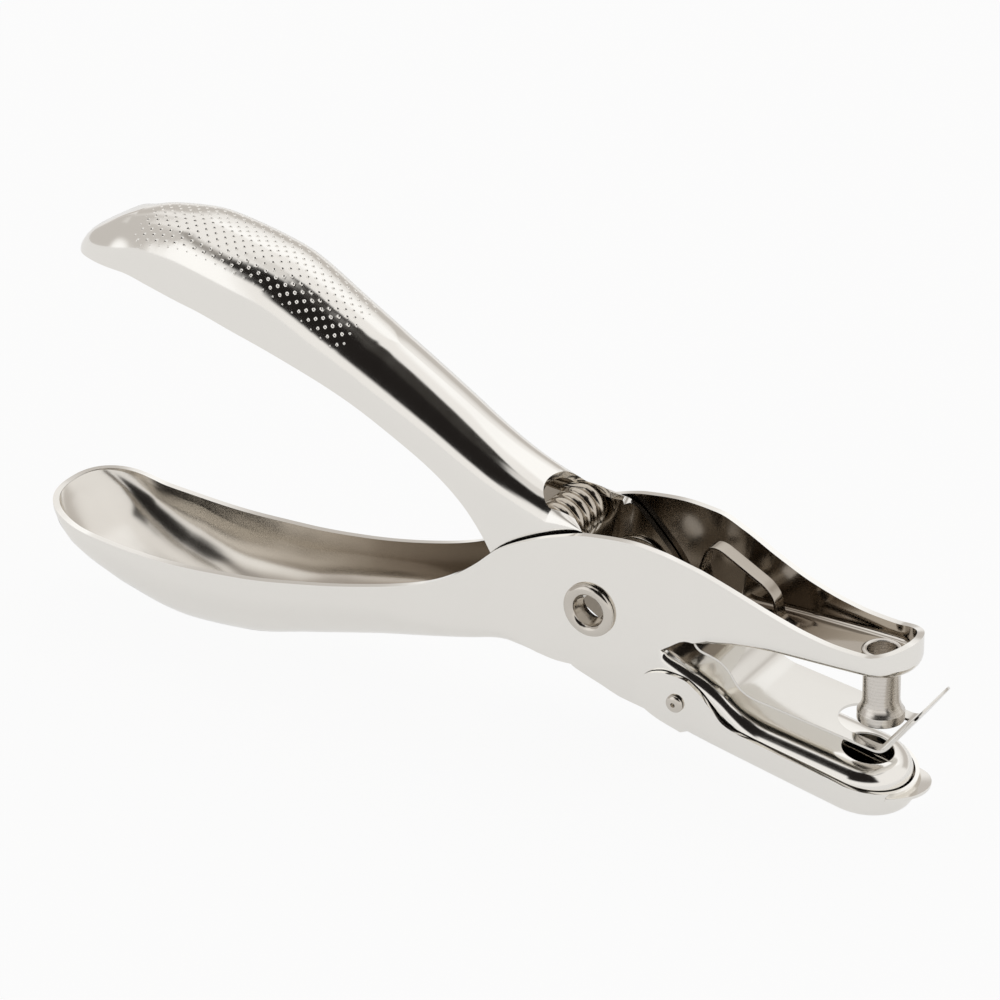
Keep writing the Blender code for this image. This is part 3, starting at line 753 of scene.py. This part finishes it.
def make_die_lever():
    corner = faded(curve_through(die_lever_corner), crown_opening, crown_fades)
    half = curve_through(widths(crown_width_shares, neck_half, crown_half) + die_half_points)
    edge = curve_through(die_lever_edge)
    web = curve_through(die_lever_top)
    surface = Channel(half, edge, web, corner, crown_lines)
    stations = spaced([
        (crown_cap_x, dimple_stretch[1], dimple_cell),
        (dimple_stretch[1], crown_opening[0], 0.8),
        (crown_opening[0], crown_opening[0] + crown_fades[0], 0.3),
        (crown_opening[0] + crown_fades[0], crown_opening[1] - crown_fades[1], 0.55),
        (crown_opening[1] - crown_fades[1], crown_opening[1], 0.14),
        (crown_opening[1], 26.0, 0.5),
        (26.0, punch_x, 0.8),
    ])
    caps = ((crown_cap_x, crown_cap_length, 1), (punch_x, die_half, 1))
    item, _, _ = channel_sheet("die_lever_form", surface, stations, crown_opening, caps)
    thicken(item, lever_sheet)
    press_dimples(item, surface, stations)
    round_edges(item, lever_edge_round)
    cut_mouth(item)
    drill(item, eyelet_barrel_radius + seat_gap, (0, 1, 0), (0, 0, 0), die_half * 2)
    drill_die(item)
    pin_place = (tray_pin[0], 0, tray_pin[1])
    drill(item, tray_pin_radius + seat_gap, (0, 1, 0), pin_place, die_half * 2)
    return item


def cut_mouth(item):
    """Rounds the end of the crown into an arch over the spring."""
    reach = crown_opening[0] - mouth_depth_x
    front = crown_opening[0] + crown_fades[0]
    outline = []
    for i in range(arch_steps + 1):
        angle = -math.pi / 2 + math.pi * i / arch_steps
        x = crown_opening[0] - reach * math.cos(angle)
        outline.append((x, mouth_half * math.sin(angle)))
    outline += [(front, mouth_half), (front, -mouth_half)]
    highest = max(height for x, height in die_lever_top)
    combine(item, extruded("mouth", outline, 0, highest), "DIFFERENCE")


def make_punch_pin():
    top = leaf_level + leaf_sheet + seat_gap
    collar_top = top + punch_collar_height
    head_top = punch_bottom + punch_head_height
    shoulder = leaf_level - leaf_sheet - seat_gap
    lower = [
        (punch_radius * punch_hollow_share, punch_bottom), (punch_radius, punch_bottom),
        (punch_radius, head_top),
    ]
    flare = []
    for i in range(1, arch_steps):
        share = i / arch_steps
        radius = punch_stem_radius + (punch_radius - punch_stem_radius) * (1 - share) ** 2
        flare.append((radius, head_top + punch_flare_height * share))
    ridge = punch_bore_radius * punch_collar_ridge_share
    upper = [
        (punch_stem_radius, head_top + punch_flare_height), (punch_stem_radius, shoulder),
        (punch_tenon_radius, shoulder), (punch_tenon_radius, top), (punch_collar_radius, top),
        (punch_collar_radius, collar_top), (ridge, collar_top + leaf_sheet / 2),
        (punch_bore_radius, collar_top), (punch_bore_radius, collar_top - punch_bore_depth),
    ]
    hollow = (0, punch_bottom + punch_hollow_depth)
    profile = [hollow] + [tuple(point) for point in softened(lower, punch_round)] + flare
    profile += [tuple(point) for point in softened(upper, punch_round)]
    profile.append((0, collar_top - punch_bore_depth))
    return turned("punch_pin_form", profile, (0, 0, 1), (punch_x, 0, 0))


def dome(outer, inner, low, height):
    """The arch of a rolled head from its outer radius over to its inner one."""
    middle = (outer + inner) / 2
    reach = (outer - inner) / 2
    found = []
    for i in range(dome_steps + 1):
        angle = math.pi * i / dome_steps
        found.append((middle + reach * math.cos(angle), low + height * math.sin(angle)))
    return found


def make_eyelet(name, side):
    """A hollow rivet: a rolled head outside, a narrow throat and a flat clinch inside."""
    head_face = cheek_half + seat_gap
    clinch_face = die_half - lever_sheet - seat_gap
    clinch_top = clinch_face - eyelet_clinch_thick
    low = head_face + eyelet_lip_height
    crown = dome(eyelet_head_radius, eyelet_bore_radius, low, eyelet_head_thick - eyelet_lip_height)
    clinch = softened([
        (eyelet_throat_radius, head_face - eyelet_throat_depth),
        (eyelet_inner_radius, head_face - eyelet_throat_depth - eyelet_lip_height),
        (eyelet_inner_radius, clinch_top),
        (eyelet_clinch_radius, clinch_top), (eyelet_clinch_radius, clinch_face),
    ], eyelet_round)
    barrel = [(eyelet_barrel_radius, clinch_face), (eyelet_barrel_radius, head_face)]
    under = [(eyelet_head_radius - eyelet_undercut, head_face)]
    profile = [tuple(point) for point in clinch] + barrel + under + crown
    return turned(name, profile, (0, side, 0), (0, 0, 0))


def make_tray_pin(name, side):
    """A small rivet whose domed head has a pit in its middle."""
    outside = tray_half + seat_gap
    inside = die_half - lever_sheet - seat_gap
    profile = [
        (0, inside - tray_pin_head_thick), (tray_pin_head_radius, inside - tray_pin_head_thick),
        (tray_pin_head_radius, inside), (tray_pin_radius, inside), (tray_pin_radius, outside),
        (tray_pin_head_radius - tray_pin_undercut, outside),
    ]
    for i in range(dome_steps + 1):
        angle = math.pi / 2 * i / dome_steps
        radius = tray_pin_hollow_radius + (tray_pin_head_radius - tray_pin_hollow_radius) * math.cos(angle)
        profile.append((radius, outside + tray_pin_undercut + tray_pin_head_rise * math.sin(angle)))
    profile += [(tray_pin_hollow_radius, outside), (0, outside)]
    return turned(name, profile, (0, side, 0), (tray_pin[0], 0, tray_pin[1]))


def ribbon(name, path):
    """A strip of the leaf along its path, thickened about its middle."""
    shape = bmesh.new()
    rows = []
    for x, z, half in softened(path, leaf_bend_radius):
        rows.append([shape.verts.new((x, half * share, z)) for share in (-1, -0.5, 0, 0.5, 1)])
    for lower, upper in zip(rows[:-1], rows[1:]):
        for j in range(4):
            shape.faces.new((lower[j], lower[j + 1], upper[j + 1], upper[j]))
    bmesh.ops.remove_doubles(shape, verts=shape.verts, dist=merge_distance)
    item = object_from_bmesh(name, shape)
    thicken(item, leaf_sheet, 0)
    round_edges(item, thin_edge_round)
    return item


def make_upper_leaf():
    item = ribbon("leaf_hook", leaf_upper_path)
    tenon_hole = punch_tenon_radius + seat_gap
    drill(item, tenon_hole, (0, 0, 1), (punch_x, 0, leaf_level), leaf_sheet * 2)
    return item


def make_lower_leaf():
    """The plate over the die. Its long slot is round at the rear end."""
    item = ribbon("leaf_plate", leaf_lower_path)
    outline = [(leaf_slot[1], -leaf_slot_half), (leaf_slot[1], leaf_slot_half)]
    centre = leaf_slot[0] + leaf_slot_half
    for i in range(arch_steps + 1):
        angle = math.pi / 2 + math.pi * i / arch_steps
        outline.append((centre + leaf_slot_half * math.cos(angle), leaf_slot_half * math.sin(angle)))
    combine(item, extruded("slot", outline, punch_bottom * 2, jaw_floor), "DIFFERENCE")
    return item


def spring_path():
    """The wire's middle line: lower leg, coil and upper leg as one run of points."""
    x0, z0 = coil_centre
    turn = coil_leave - coil_enter + 2 * math.pi * coil_turns
    steps = round(turn / (2 * math.pi) * coil_points_per_turn)
    coil = []
    for i in range(steps + 1):
        angle = coil_enter + turn * i / steps
        y = 2 * coil_half * (i / steps - 0.5)
        coil.append(Vector((x0 + coil_radius * math.cos(angle), y, z0 + coil_radius * math.sin(angle))))
    lower = [Vector(point) for point in lower_leg]
    upper = [Vector(point) for point in upper_leg]
    lower.insert(0, lower[0] + (lower[0] - lower[1]).normalized() * 2 * wire_radius)
    upper.append(upper[-1] + (upper[-1] - upper[-2]).normalized() * 2 * wire_radius)
    start = softened(lower + [coil[0], coil[1]], wire_radius * 3)[:-1]
    end = softened([coil[-2], coil[-1]] + upper, wire_radius * 3)[1:]
    return start + coil[1:-1] + end


def make_spring():
    """A round wire along the path, with its sides kept level from point to point."""
    path = spring_path()
    shape = bmesh.new()
    across = Vector((0, 1, 0))
    rings = []
    for i, point in enumerate(path):
        ahead = (path[min(i + 1, len(path) - 1)] - path[max(i - 1, 0)]).normalized()
        across = (across - ahead * across.dot(ahead)).normalized()
        up = ahead.cross(across)
        is_end = i in (0, len(path) - 1)
        radius = wire_radius * (leg_end_radius_share if is_end else 1)
        ring = []
        for k in range(wire_sides):
            angle = 2 * math.pi * k / wire_sides
            offset = across * math.cos(angle) + up * math.sin(angle)
            ring.append(shape.verts.new(point + offset * radius))
        rings.append(ring)
    for lower, upper in zip(rings[:-1], rings[1:]):
        for k in range(wire_sides):
            n = (k + 1) % wire_sides
            shape.faces.new((lower[k], lower[n], upper[n], upper[k]))
    shape.faces.new(rings[0])
    shape.faces.new(rings[-1])
    bmesh.ops.recalc_face_normals(shape, faces=shape.faces)
    return object_from_bmesh("spring_form", shape)


def make_chip_tray():
    edge = curve_through(tray_rim)
    web = curve_through(tray_base)
    half = curve_through([(0.0, tray_half), (punch_x, tray_half)])
    opening = (tray_rim[0][0] - tray_corner, tray_floor_start)
    plain_corner = curve_through([(tray_rim[0][0], tray_corner), (tray_rim[-1][0], tray_corner)])
    corner = faded(plain_corner, opening, (tray_corner / 2, tray_corner / 2))
    surface = Channel(half, edge, web, corner, plain_lines)
    stations = spaced([
        (tray_rim[0][0], tray_floor_start - tray_corner / 2, 0.25),
        (tray_floor_start - tray_corner / 2, tray_floor_start, 0.08),
        (tray_floor_start, 22.5, 0.4), (22.5, punch_x, 0.8),
    ])
    caps = (None, (punch_x, tray_half, 1))
    item, _, _ = channel_sheet("chip_tray_form", surface, stations, opening, caps)
    thicken(item, tray_sheet)
    round_edges(item, lever_edge_round)
    lip = make_lip(edge(punch_x + tray_half))
    round_edges(lip, thin_edge_round)
    combine(item, lip, "UNION")
    pin_place = (tray_pin[0], 0, tray_pin[1])
    drill(item, tray_pin_radius + seat_gap, (0, 1, 0), pin_place, tray_half * 2)
    return item


def make_lip(rim_height):
    """The finger lip: a crescent that leaves the tray's nose and rises outward."""
    shape = bmesh.new()
    top = rim_height - lip_below_rim
    inner = tray_half - lip_bite
    rows = []
    for i in range(lip_steps + 1):
        turn = i / lip_steps * 2 - 1
        angle = lip_half_angle * turn
        reach = lip_root + lip_length * math.cos(turn * math.pi / 2)
        outer = tray_half + reach
        rise = lip_rise * reach / lip_length
        corners = [(inner, top - tray_sheet), (outer, top - tray_sheet + rise)]
        corners += [(outer, top + rise), (inner, top)]
        row = []
        for radius, height in corners:
            x = punch_x + radius * math.cos(angle)
            row.append(shape.verts.new((x, radius * math.sin(angle), height)))
        rows.append(row)
    for lower, upper in zip(rows[:-1], rows[1:]):
        for j in range(4):
            k = (j + 1) % 4
            shape.faces.new((lower[j], lower[k], upper[k], upper[j]))
    shape.faces.new(rows[0])
    shape.faces.new(rows[-1])
    bmesh.ops.recalc_face_normals(shape, faces=shape.faces)
    return object_from_bmesh("lip", shape)


# ---- Materials

def new_material(name):
    made = bpy.data.materials.new(name)
    made.use_nodes = True
    return made, made.node_tree.nodes, made.node_tree.links


def noise(nodes, links, place_out, scale, detail):
    texture = nodes.new("ShaderNodeTexNoise")
    texture.inputs["Scale"].default_value = scale
    texture.inputs["Detail"].default_value = detail
    links.new(place_out, texture.inputs["Vector"])
    return texture.outputs["Fac"]


def mapped(nodes, links, value, low, high):
    """Carries a 0 to 1 value to the range low to high."""
    change = nodes.new("ShaderNodeMapRange")
    change.inputs["To Min"].default_value = low
    change.inputs["To Max"].default_value = high
    links.new(value, change.inputs["Value"])
    return change.outputs["Result"]


def mixed(nodes, links, value, first, second):
    mix = nodes.new("ShaderNodeMix")
    mix.data_type = "RGBA"
    mix.inputs["A"].default_value = (*first, 1)
    mix.inputs["B"].default_value = (*second, 1)
    links.new(value, mix.inputs["Factor"])
    return mix.outputs["Result"]


def ramp(nodes, links, value, stops):
    """A colour that runs through the stops, (place from 0 to 1, colour), as the value grows."""
    made = nodes.new("ShaderNodeValToRGB")
    stages = made.color_ramp.elements
    for place_share, _ in stops[1:-1]:
        stages.new(place_share)
    for stage, (place_share, colour) in zip(stages, stops):
        stage.position = place_share
        stage.color = (*colour, 1)
    links.new(value, made.inputs["Fac"])
    return made.outputs["Color"]


def wavy(nodes, links, place_out, shader, strength):
    """A slight waviness, as thin pressed metal has."""
    bump = nodes.new("ShaderNodeBump")
    bump.inputs["Strength"].default_value = strength
    bump.inputs["Distance"].default_value = wave_height
    links.new(noise(nodes, links, place_out, wave_scale, 2), bump.inputs["Height"])
    links.new(bump.outputs["Normal"], shader.inputs["Normal"])


def plated_metal(name, colour, shade, roughness, waviness):
    """Bright metal: a slight cloudiness, faint rubbing in its gloss and a wavy surface."""
    made, nodes, links = new_material(name)
    shader = nodes["Principled BSDF"]
    where = nodes.new("ShaderNodeTexCoord").outputs["Object"]
    clouds = noise(nodes, links, where, cloud_scale, 3)
    links.new(mixed(nodes, links, clouds, colour, shade), shader.inputs["Base Color"])
    rubbing = noise(nodes, links, where, rub_scale, 6)
    worn = mapped(nodes, links, rubbing, roughness[0], roughness[1])
    links.new(worn, shader.inputs["Roughness"])
    shader.inputs["Metallic"].default_value = 1
    wavy(nodes, links, where, shader, waviness)
    return made


def shaded_inside_metal(name, waviness):
    """The inside of a stamping: duller plating with painted shade in its tint, darkest deep in the
    channels about the pivot and the throat, and a gloss that changes along the tool.
    """
    made, nodes, links = new_material(name)
    shader = nodes["Principled BSDF"]
    where = nodes.new("ShaderNodeTexCoord").outputs["Object"]
    apart = nodes.new("ShaderNodeSeparateXYZ")
    links.new(where, apart.inputs["Vector"])
    rear, front = inside_shade_stations[0][0], inside_shade_stations[-1][0]
    along = nodes.new("ShaderNodeMapRange")
    along.inputs["From Min"].default_value = pivot.x + rear * METRE
    along.inputs["From Max"].default_value = pivot.x + front * METRE
    links.new(apart.outputs["X"], along.inputs["Value"])
    places = [(x - rear) / (front - rear) for x, _, _ in inside_shade_stations]
    inside_shade_stops = [(place_share, row[1]) for place_share, row in zip(places, inside_shade_stations)]
    glosses = [(place_share, (row[2],) * 3) for place_share, row in zip(places, inside_shade_stations)]
    # Painted shade: the inside's tint darkens towards the pivot and the throat
    inside_shade = ramp(nodes, links, along.outputs["Result"], inside_shade_stops)
    gloss = ramp(nodes, links, along.outputs["Result"], glosses)
    clouds = mapped(nodes, links, noise(nodes, links, where, cloud_scale, 4), 0.9, 1.1)
    clouded = nodes.new("ShaderNodeMix")
    clouded.data_type = "RGBA"
    clouded.blend_type = "MULTIPLY"
    clouded.inputs["Factor"].default_value = 1
    links.new(inside_shade, clouded.inputs["A"])
    links.new(clouds, clouded.inputs["B"])
    links.new(clouded.outputs["Result"], shader.inputs["Base Color"])
    links.new(gloss, shader.inputs["Roughness"])
    shader.inputs["Metallic"].default_value = 1
    wavy(nodes, links, where, shader, waviness)
    return made


def turned_metal(name, colour, shade, roughness, rings_per_metre):
    """Machined steel, with fine rings round the upright axis."""
    made, nodes, links = new_material(name)
    shader = nodes["Principled BSDF"]
    where = nodes.new("ShaderNodeTexCoord").outputs["Object"]
    rings = nodes.new("ShaderNodeTexWave")
    rings.bands_direction = "Z"
    rings.inputs["Scale"].default_value = rings_per_metre
    rings.inputs["Distortion"].default_value = 1.2
    rings.inputs["Detail"].default_value = 3
    rings.inputs["Detail Scale"].default_value = 2
    links.new(where, rings.inputs["Vector"])
    cut = rings.outputs["Fac"]
    links.new(mixed(nodes, links, cut, colour, shade), shader.inputs["Base Color"])
    worn = mapped(nodes, links, cut, roughness[0], roughness[1])
    links.new(worn, shader.inputs["Roughness"])
    shader.inputs["Metallic"].default_value = 1
    bump = nodes.new("ShaderNodeBump")
    bump.inputs["Strength"].default_value = 0.03
    bump.inputs["Distance"].default_value = 0.00003
    links.new(cut, bump.inputs["Height"])
    links.new(bump.outputs["Normal"], shader.inputs["Normal"])
    return made


# ---- The studio

floor_size = 6.0
floor_drop = 0.0002
floor_colour = (0.86, 0.855, 0.85)
floor_glow_share = 0.93
floor_mirrored_share = 0.6
room_colour = (0.93, 0.915, 0.90)
room_grey = (0.60, 0.575, 0.55)
room_taupe = (0.58, 0.55, 0.52)
room_ceiling = (0.76, 0.74, 0.72)
room_bright = (1.10, 1.10, 1.10)
room_dark = (0.015, 0.013, 0.012)
room_dusk = (0.03, 0.027, 0.024)
room_shade = (0.36, 0.34, 0.32)
room_fields = [
    # azimuth from and to, elevation from and to, softness (degrees), colour
    (-200.0, -143.0, -10.0, 45.0, 6.0, room_grey),
    (150.0, 200.0, -10.0, 40.0, 6.0, room_grey),
    (55.0, 150.0, 6.0, 27.0, 5.0, room_taupe),
    (-200.0, 200.0, 78.0, 100.0, 4.0, room_ceiling),
    (68.0, 122.0, 36.0, 50.0, 4.0, room_bright),
    (-140.0, -112.0, -5.0, 36.0, 5.0, room_bright),
    (-168.0, -118.0, 46.0, 60.0, 6.0, room_shade),
    (-122.0, -22.0, 43.0, 75.0, 4.0, room_dark),
    (-112.0, -90.0, 32.0, 48.0, 6.0, room_dark),
    (-98.0, -24.0, 19.0, 50.0, 4.0, room_dark),
    (-34.0, 42.0, 58.0, 77.0, 4.0, room_dusk),
]


def make_floor():
    shape = bmesh.new()
    half = floor_size / 2
    corners = [(-half, -half), (half, -half), (half, half), (-half, half)]
    shape.faces.new([shape.verts.new((x, y, -floor_drop)) for x, y in corners])
    floor = object_from_bmesh("floor", shape)
    made, nodes, links = new_material("floor_paper")
    output = nodes["Material Output"]
    paper = nodes["Principled BSDF"]
    paper.inputs["Base Color"].default_value = (*floor_colour, 1)
    paper.inputs["Roughness"].default_value = 0.9
    glow = nodes.new("ShaderNodeEmission")
    glow.inputs["Color"].default_value = (*white, 1)
    path = nodes.new("ShaderNodeLightPath")
    mirrored = math_node(
        nodes, links, "MAXIMUM", path.outputs["Is Glossy Ray"], path.outputs["Is Transmission Ray"]
    )
    softer = math_node(nodes, links, "MULTIPLY", mirrored, floor_mirrored_share)
    direct = math_node(nodes, links, "MULTIPLY", path.outputs["Is Camera Ray"], floor_glow_share)
    share = math_node(nodes, links, "MAXIMUM", softer, direct)
    mix = nodes.new("ShaderNodeMixShader")
    links.new(share, mix.inputs["Fac"])
    links.new(paper.outputs["BSDF"], mix.inputs[1])
    links.new(glow.outputs["Emission"], mix.inputs[2])
    links.new(mix.outputs["Shader"], output.inputs["Surface"])
    floor.data.materials.append(made)


def math_node(nodes, links, operation, first, second=None):
    made = nodes.new("ShaderNodeMath")
    made.operation = operation
    for socket, value in zip(made.inputs, (first, second)):
        if isinstance(value, (int, float)):
            socket.default_value = value
        elif value is not None:
            links.new(value, socket)
    return made.outputs["Value"]


def soft_step(nodes, links, value, low, high):
    change = nodes.new("ShaderNodeMapRange")
    change.interpolation_type = "SMOOTHSTEP"
    change.inputs["From Min"].default_value = low
    change.inputs["From Max"].default_value = high
    links.new(value, change.inputs["Value"])
    return change.outputs["Result"]


def window(nodes, links, value, low, high, soft):
    """1 between low and high, with soft sides."""
    rise = soft_step(nodes, links, value, low - soft, low + soft)
    fall = soft_step(nodes, links, value, high - soft, high + soft)
    return math_node(nodes, links, "SUBTRACT", rise, fall)


def make_room():
    """A white room whose walls carry a few soft fields of light and dark."""
    world = bpy.data.worlds.new("studio")
    bpy.context.scene.world = world
    world.use_nodes = True
    nodes = world.node_tree.nodes
    links = world.node_tree.links
    background = nodes["Background"]
    where = nodes.new("ShaderNodeTexCoord").outputs["Generated"]
    apart = nodes.new("ShaderNodeSeparateXYZ")
    links.new(where, apart.inputs["Vector"])
    x, y, z = (apart.outputs[name] for name in ("X", "Y", "Z"))
    azimuth = math_node(nodes, links, "DEGREES", math_node(nodes, links, "ARCTAN2", y, x))
    elevation = math_node(nodes, links, "DEGREES", math_node(nodes, links, "ARCSINE", z))
    colour = None
    for start, end, low, high, soft, field_colour in room_fields:
        across = window(nodes, links, azimuth, start, end, soft)
        upward = window(nodes, links, elevation, low, high, soft)
        mix = nodes.new("ShaderNodeMix")
        mix.data_type = "RGBA"
        if colour is None:
            mix.inputs["A"].default_value = (*room_colour, 1)
        else:
            links.new(colour, mix.inputs["A"])
        mix.inputs["B"].default_value = (*field_colour, 1)
        links.new(math_node(nodes, links, "MULTIPLY", across, upward), mix.inputs["Factor"])
        colour = mix.outputs["Result"]
    seen = nodes.new("ShaderNodeLightPath").outputs["Is Camera Ray"]
    backdrop = nodes.new("ShaderNodeMix")
    backdrop.data_type = "RGBA"
    backdrop.inputs["B"].default_value = (*white, 1)
    links.new(colour, backdrop.inputs["A"])
    links.new(seen, backdrop.inputs["Factor"])
    links.new(backdrop.outputs["Result"], background.inputs["Color"])
    background.inputs["Strength"].default_value = 1


def make_camera():
    """The photograph's camera: its angles, its distance and where it sees the pivot."""
    back = Vector((
        math.sin(view_azimuth) * math.cos(view_elevation),
        -math.cos(view_azimuth) * math.cos(view_elevation),
        math.sin(view_elevation),
    ))
    right = Vector((0, 0, 1)).cross(back).normalized()
    up = back.cross(right)
    across = (pivot_pixel[0] - photo_centre) * view_distance / focal_pixels
    above = (photo_centre - pivot_pixel[1]) * view_distance / focal_pixels
    spot = back * view_distance - right * across - up * above
    axes = Matrix((right, up, back)).transposed().to_4x4()
    level = Matrix.Rotation(tool_tilt, 4, "Y")
    data = bpy.data.cameras.new("photo_camera")
    data.sensor_width = sensor_width
    data.lens = focal_pixels / photo_width * sensor_width
    data.clip_start = 0.01
    camera = bpy.data.objects.new("photo_camera", data)
    bpy.context.scene.collection.objects.link(camera)
    moved = Matrix.Translation(pivot + level @ (spot * METRE))
    camera.matrix_world = moved @ level @ axes
    bpy.context.scene.camera = camera


# ---- Putting it together

def dress(item, node, body, materials):
    """Finishes a piece. The second material, if there is one, is for the inside of a sheet."""
    smooth(item)
    place(item)
    inside = [face.material_index for face in item.data.polygons]
    item.data.materials.clear()
    for material in materials:
        item.data.materials.append(material)
    for face, index in zip(item.data.polygons, inside):
        face.material_index = min(index, len(materials) - 1)
    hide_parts(node)
    if body:
        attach(item, body)


def main():
    nickel = plated_metal("bright_nickel", nickel_colour, nickel_shade, (0.06, 0.12), 0.14)
    crown_nickel = plated_metal("crown_nickel", nickel_colour, nickel_shade, (0.09, 0.15), 0.12)
    small_nickel = plated_metal("small_nickel", rivet_colour, rivet_shade, (0.10, 0.18), 0.05)
    # Painted shade on the inner faces of the stamped levers and tray, darkest about the throat
    nickel_inside_painted_shade = shaded_inside_metal("nickel_inside_with_painted_shade", 0.2)
    steel = turned_metal("turned_steel", steel_colour, steel_shade, (0.20, 0.28), 650)
    leaf_steel = plated_metal("leaf_steel", leaf_colour, leaf_shade, (0.08, 0.16), 0.05)
    # The leaf's steel with painted shade, for the upper strip and the hook
    hook_steel_painted_shade = plated_metal("hook_steel_painted_shade", hook_painted_shade_colour, hook_painted_shade_tone, (0.08, 0.16), 0.05)
    # Spring wire with painted shade for the throat
    wire_steel_painted_shade = plated_metal("wire_steel_painted_shade", wire_colour_with_painted_shade, wire_tone_with_painted_shade, (0.10, 0.18), 0.04)

    die_lever = make_die_lever()
    chip_tray = make_chip_tray()
    tray_pins = [make_tray_pin("tray_pin_near_form", -1), make_tray_pin("tray_pin_far_form", 1)]
    for item in (die_lever, chip_tray, *tray_pins):
        turn_open(item)
    stamped = (nickel, nickel_inside_painted_shade)
    crown = (crown_nickel, nickel_inside_painted_shade)
    small = (small_nickel,)
    dress(make_punch_lever(), "punch_lever", "punch_side", stamped)
    dress(die_lever, "die_lever", "die_side", crown)
    dress(chip_tray, "chip_tray", "tray", stamped)
    dress(tray_pins[0], "tray_pin_near", "die_side", small)
    dress(tray_pins[1], "tray_pin_far", "die_side", small)
    near = make_eyelet("pivot_eyelet_near_form", -1)
    far = make_eyelet("pivot_eyelet_far_form", 1)
    dress(near, "pivot_eyelet_near", "punch_side", small)
    dress(far, "pivot_eyelet_far", "punch_side", small)
    dress(make_punch_pin(), "punch_pin", "punch_side", (steel,))
    dress(make_upper_leaf(), "paper_leaf", "punch_side", (hook_steel_painted_shade,))

    plate = make_lower_leaf()
    dress(plate, "paper_leaf", None, (leaf_steel,))
    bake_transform(plate)
    spring = make_spring()
    dress(spring, "spring", None, (wire_steel_painted_shade,))
    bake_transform(spring)

    make_floor()
    make_room()
    make_camera()
    bpy.context.scene.view_settings.view_transform = "Standard"


main()
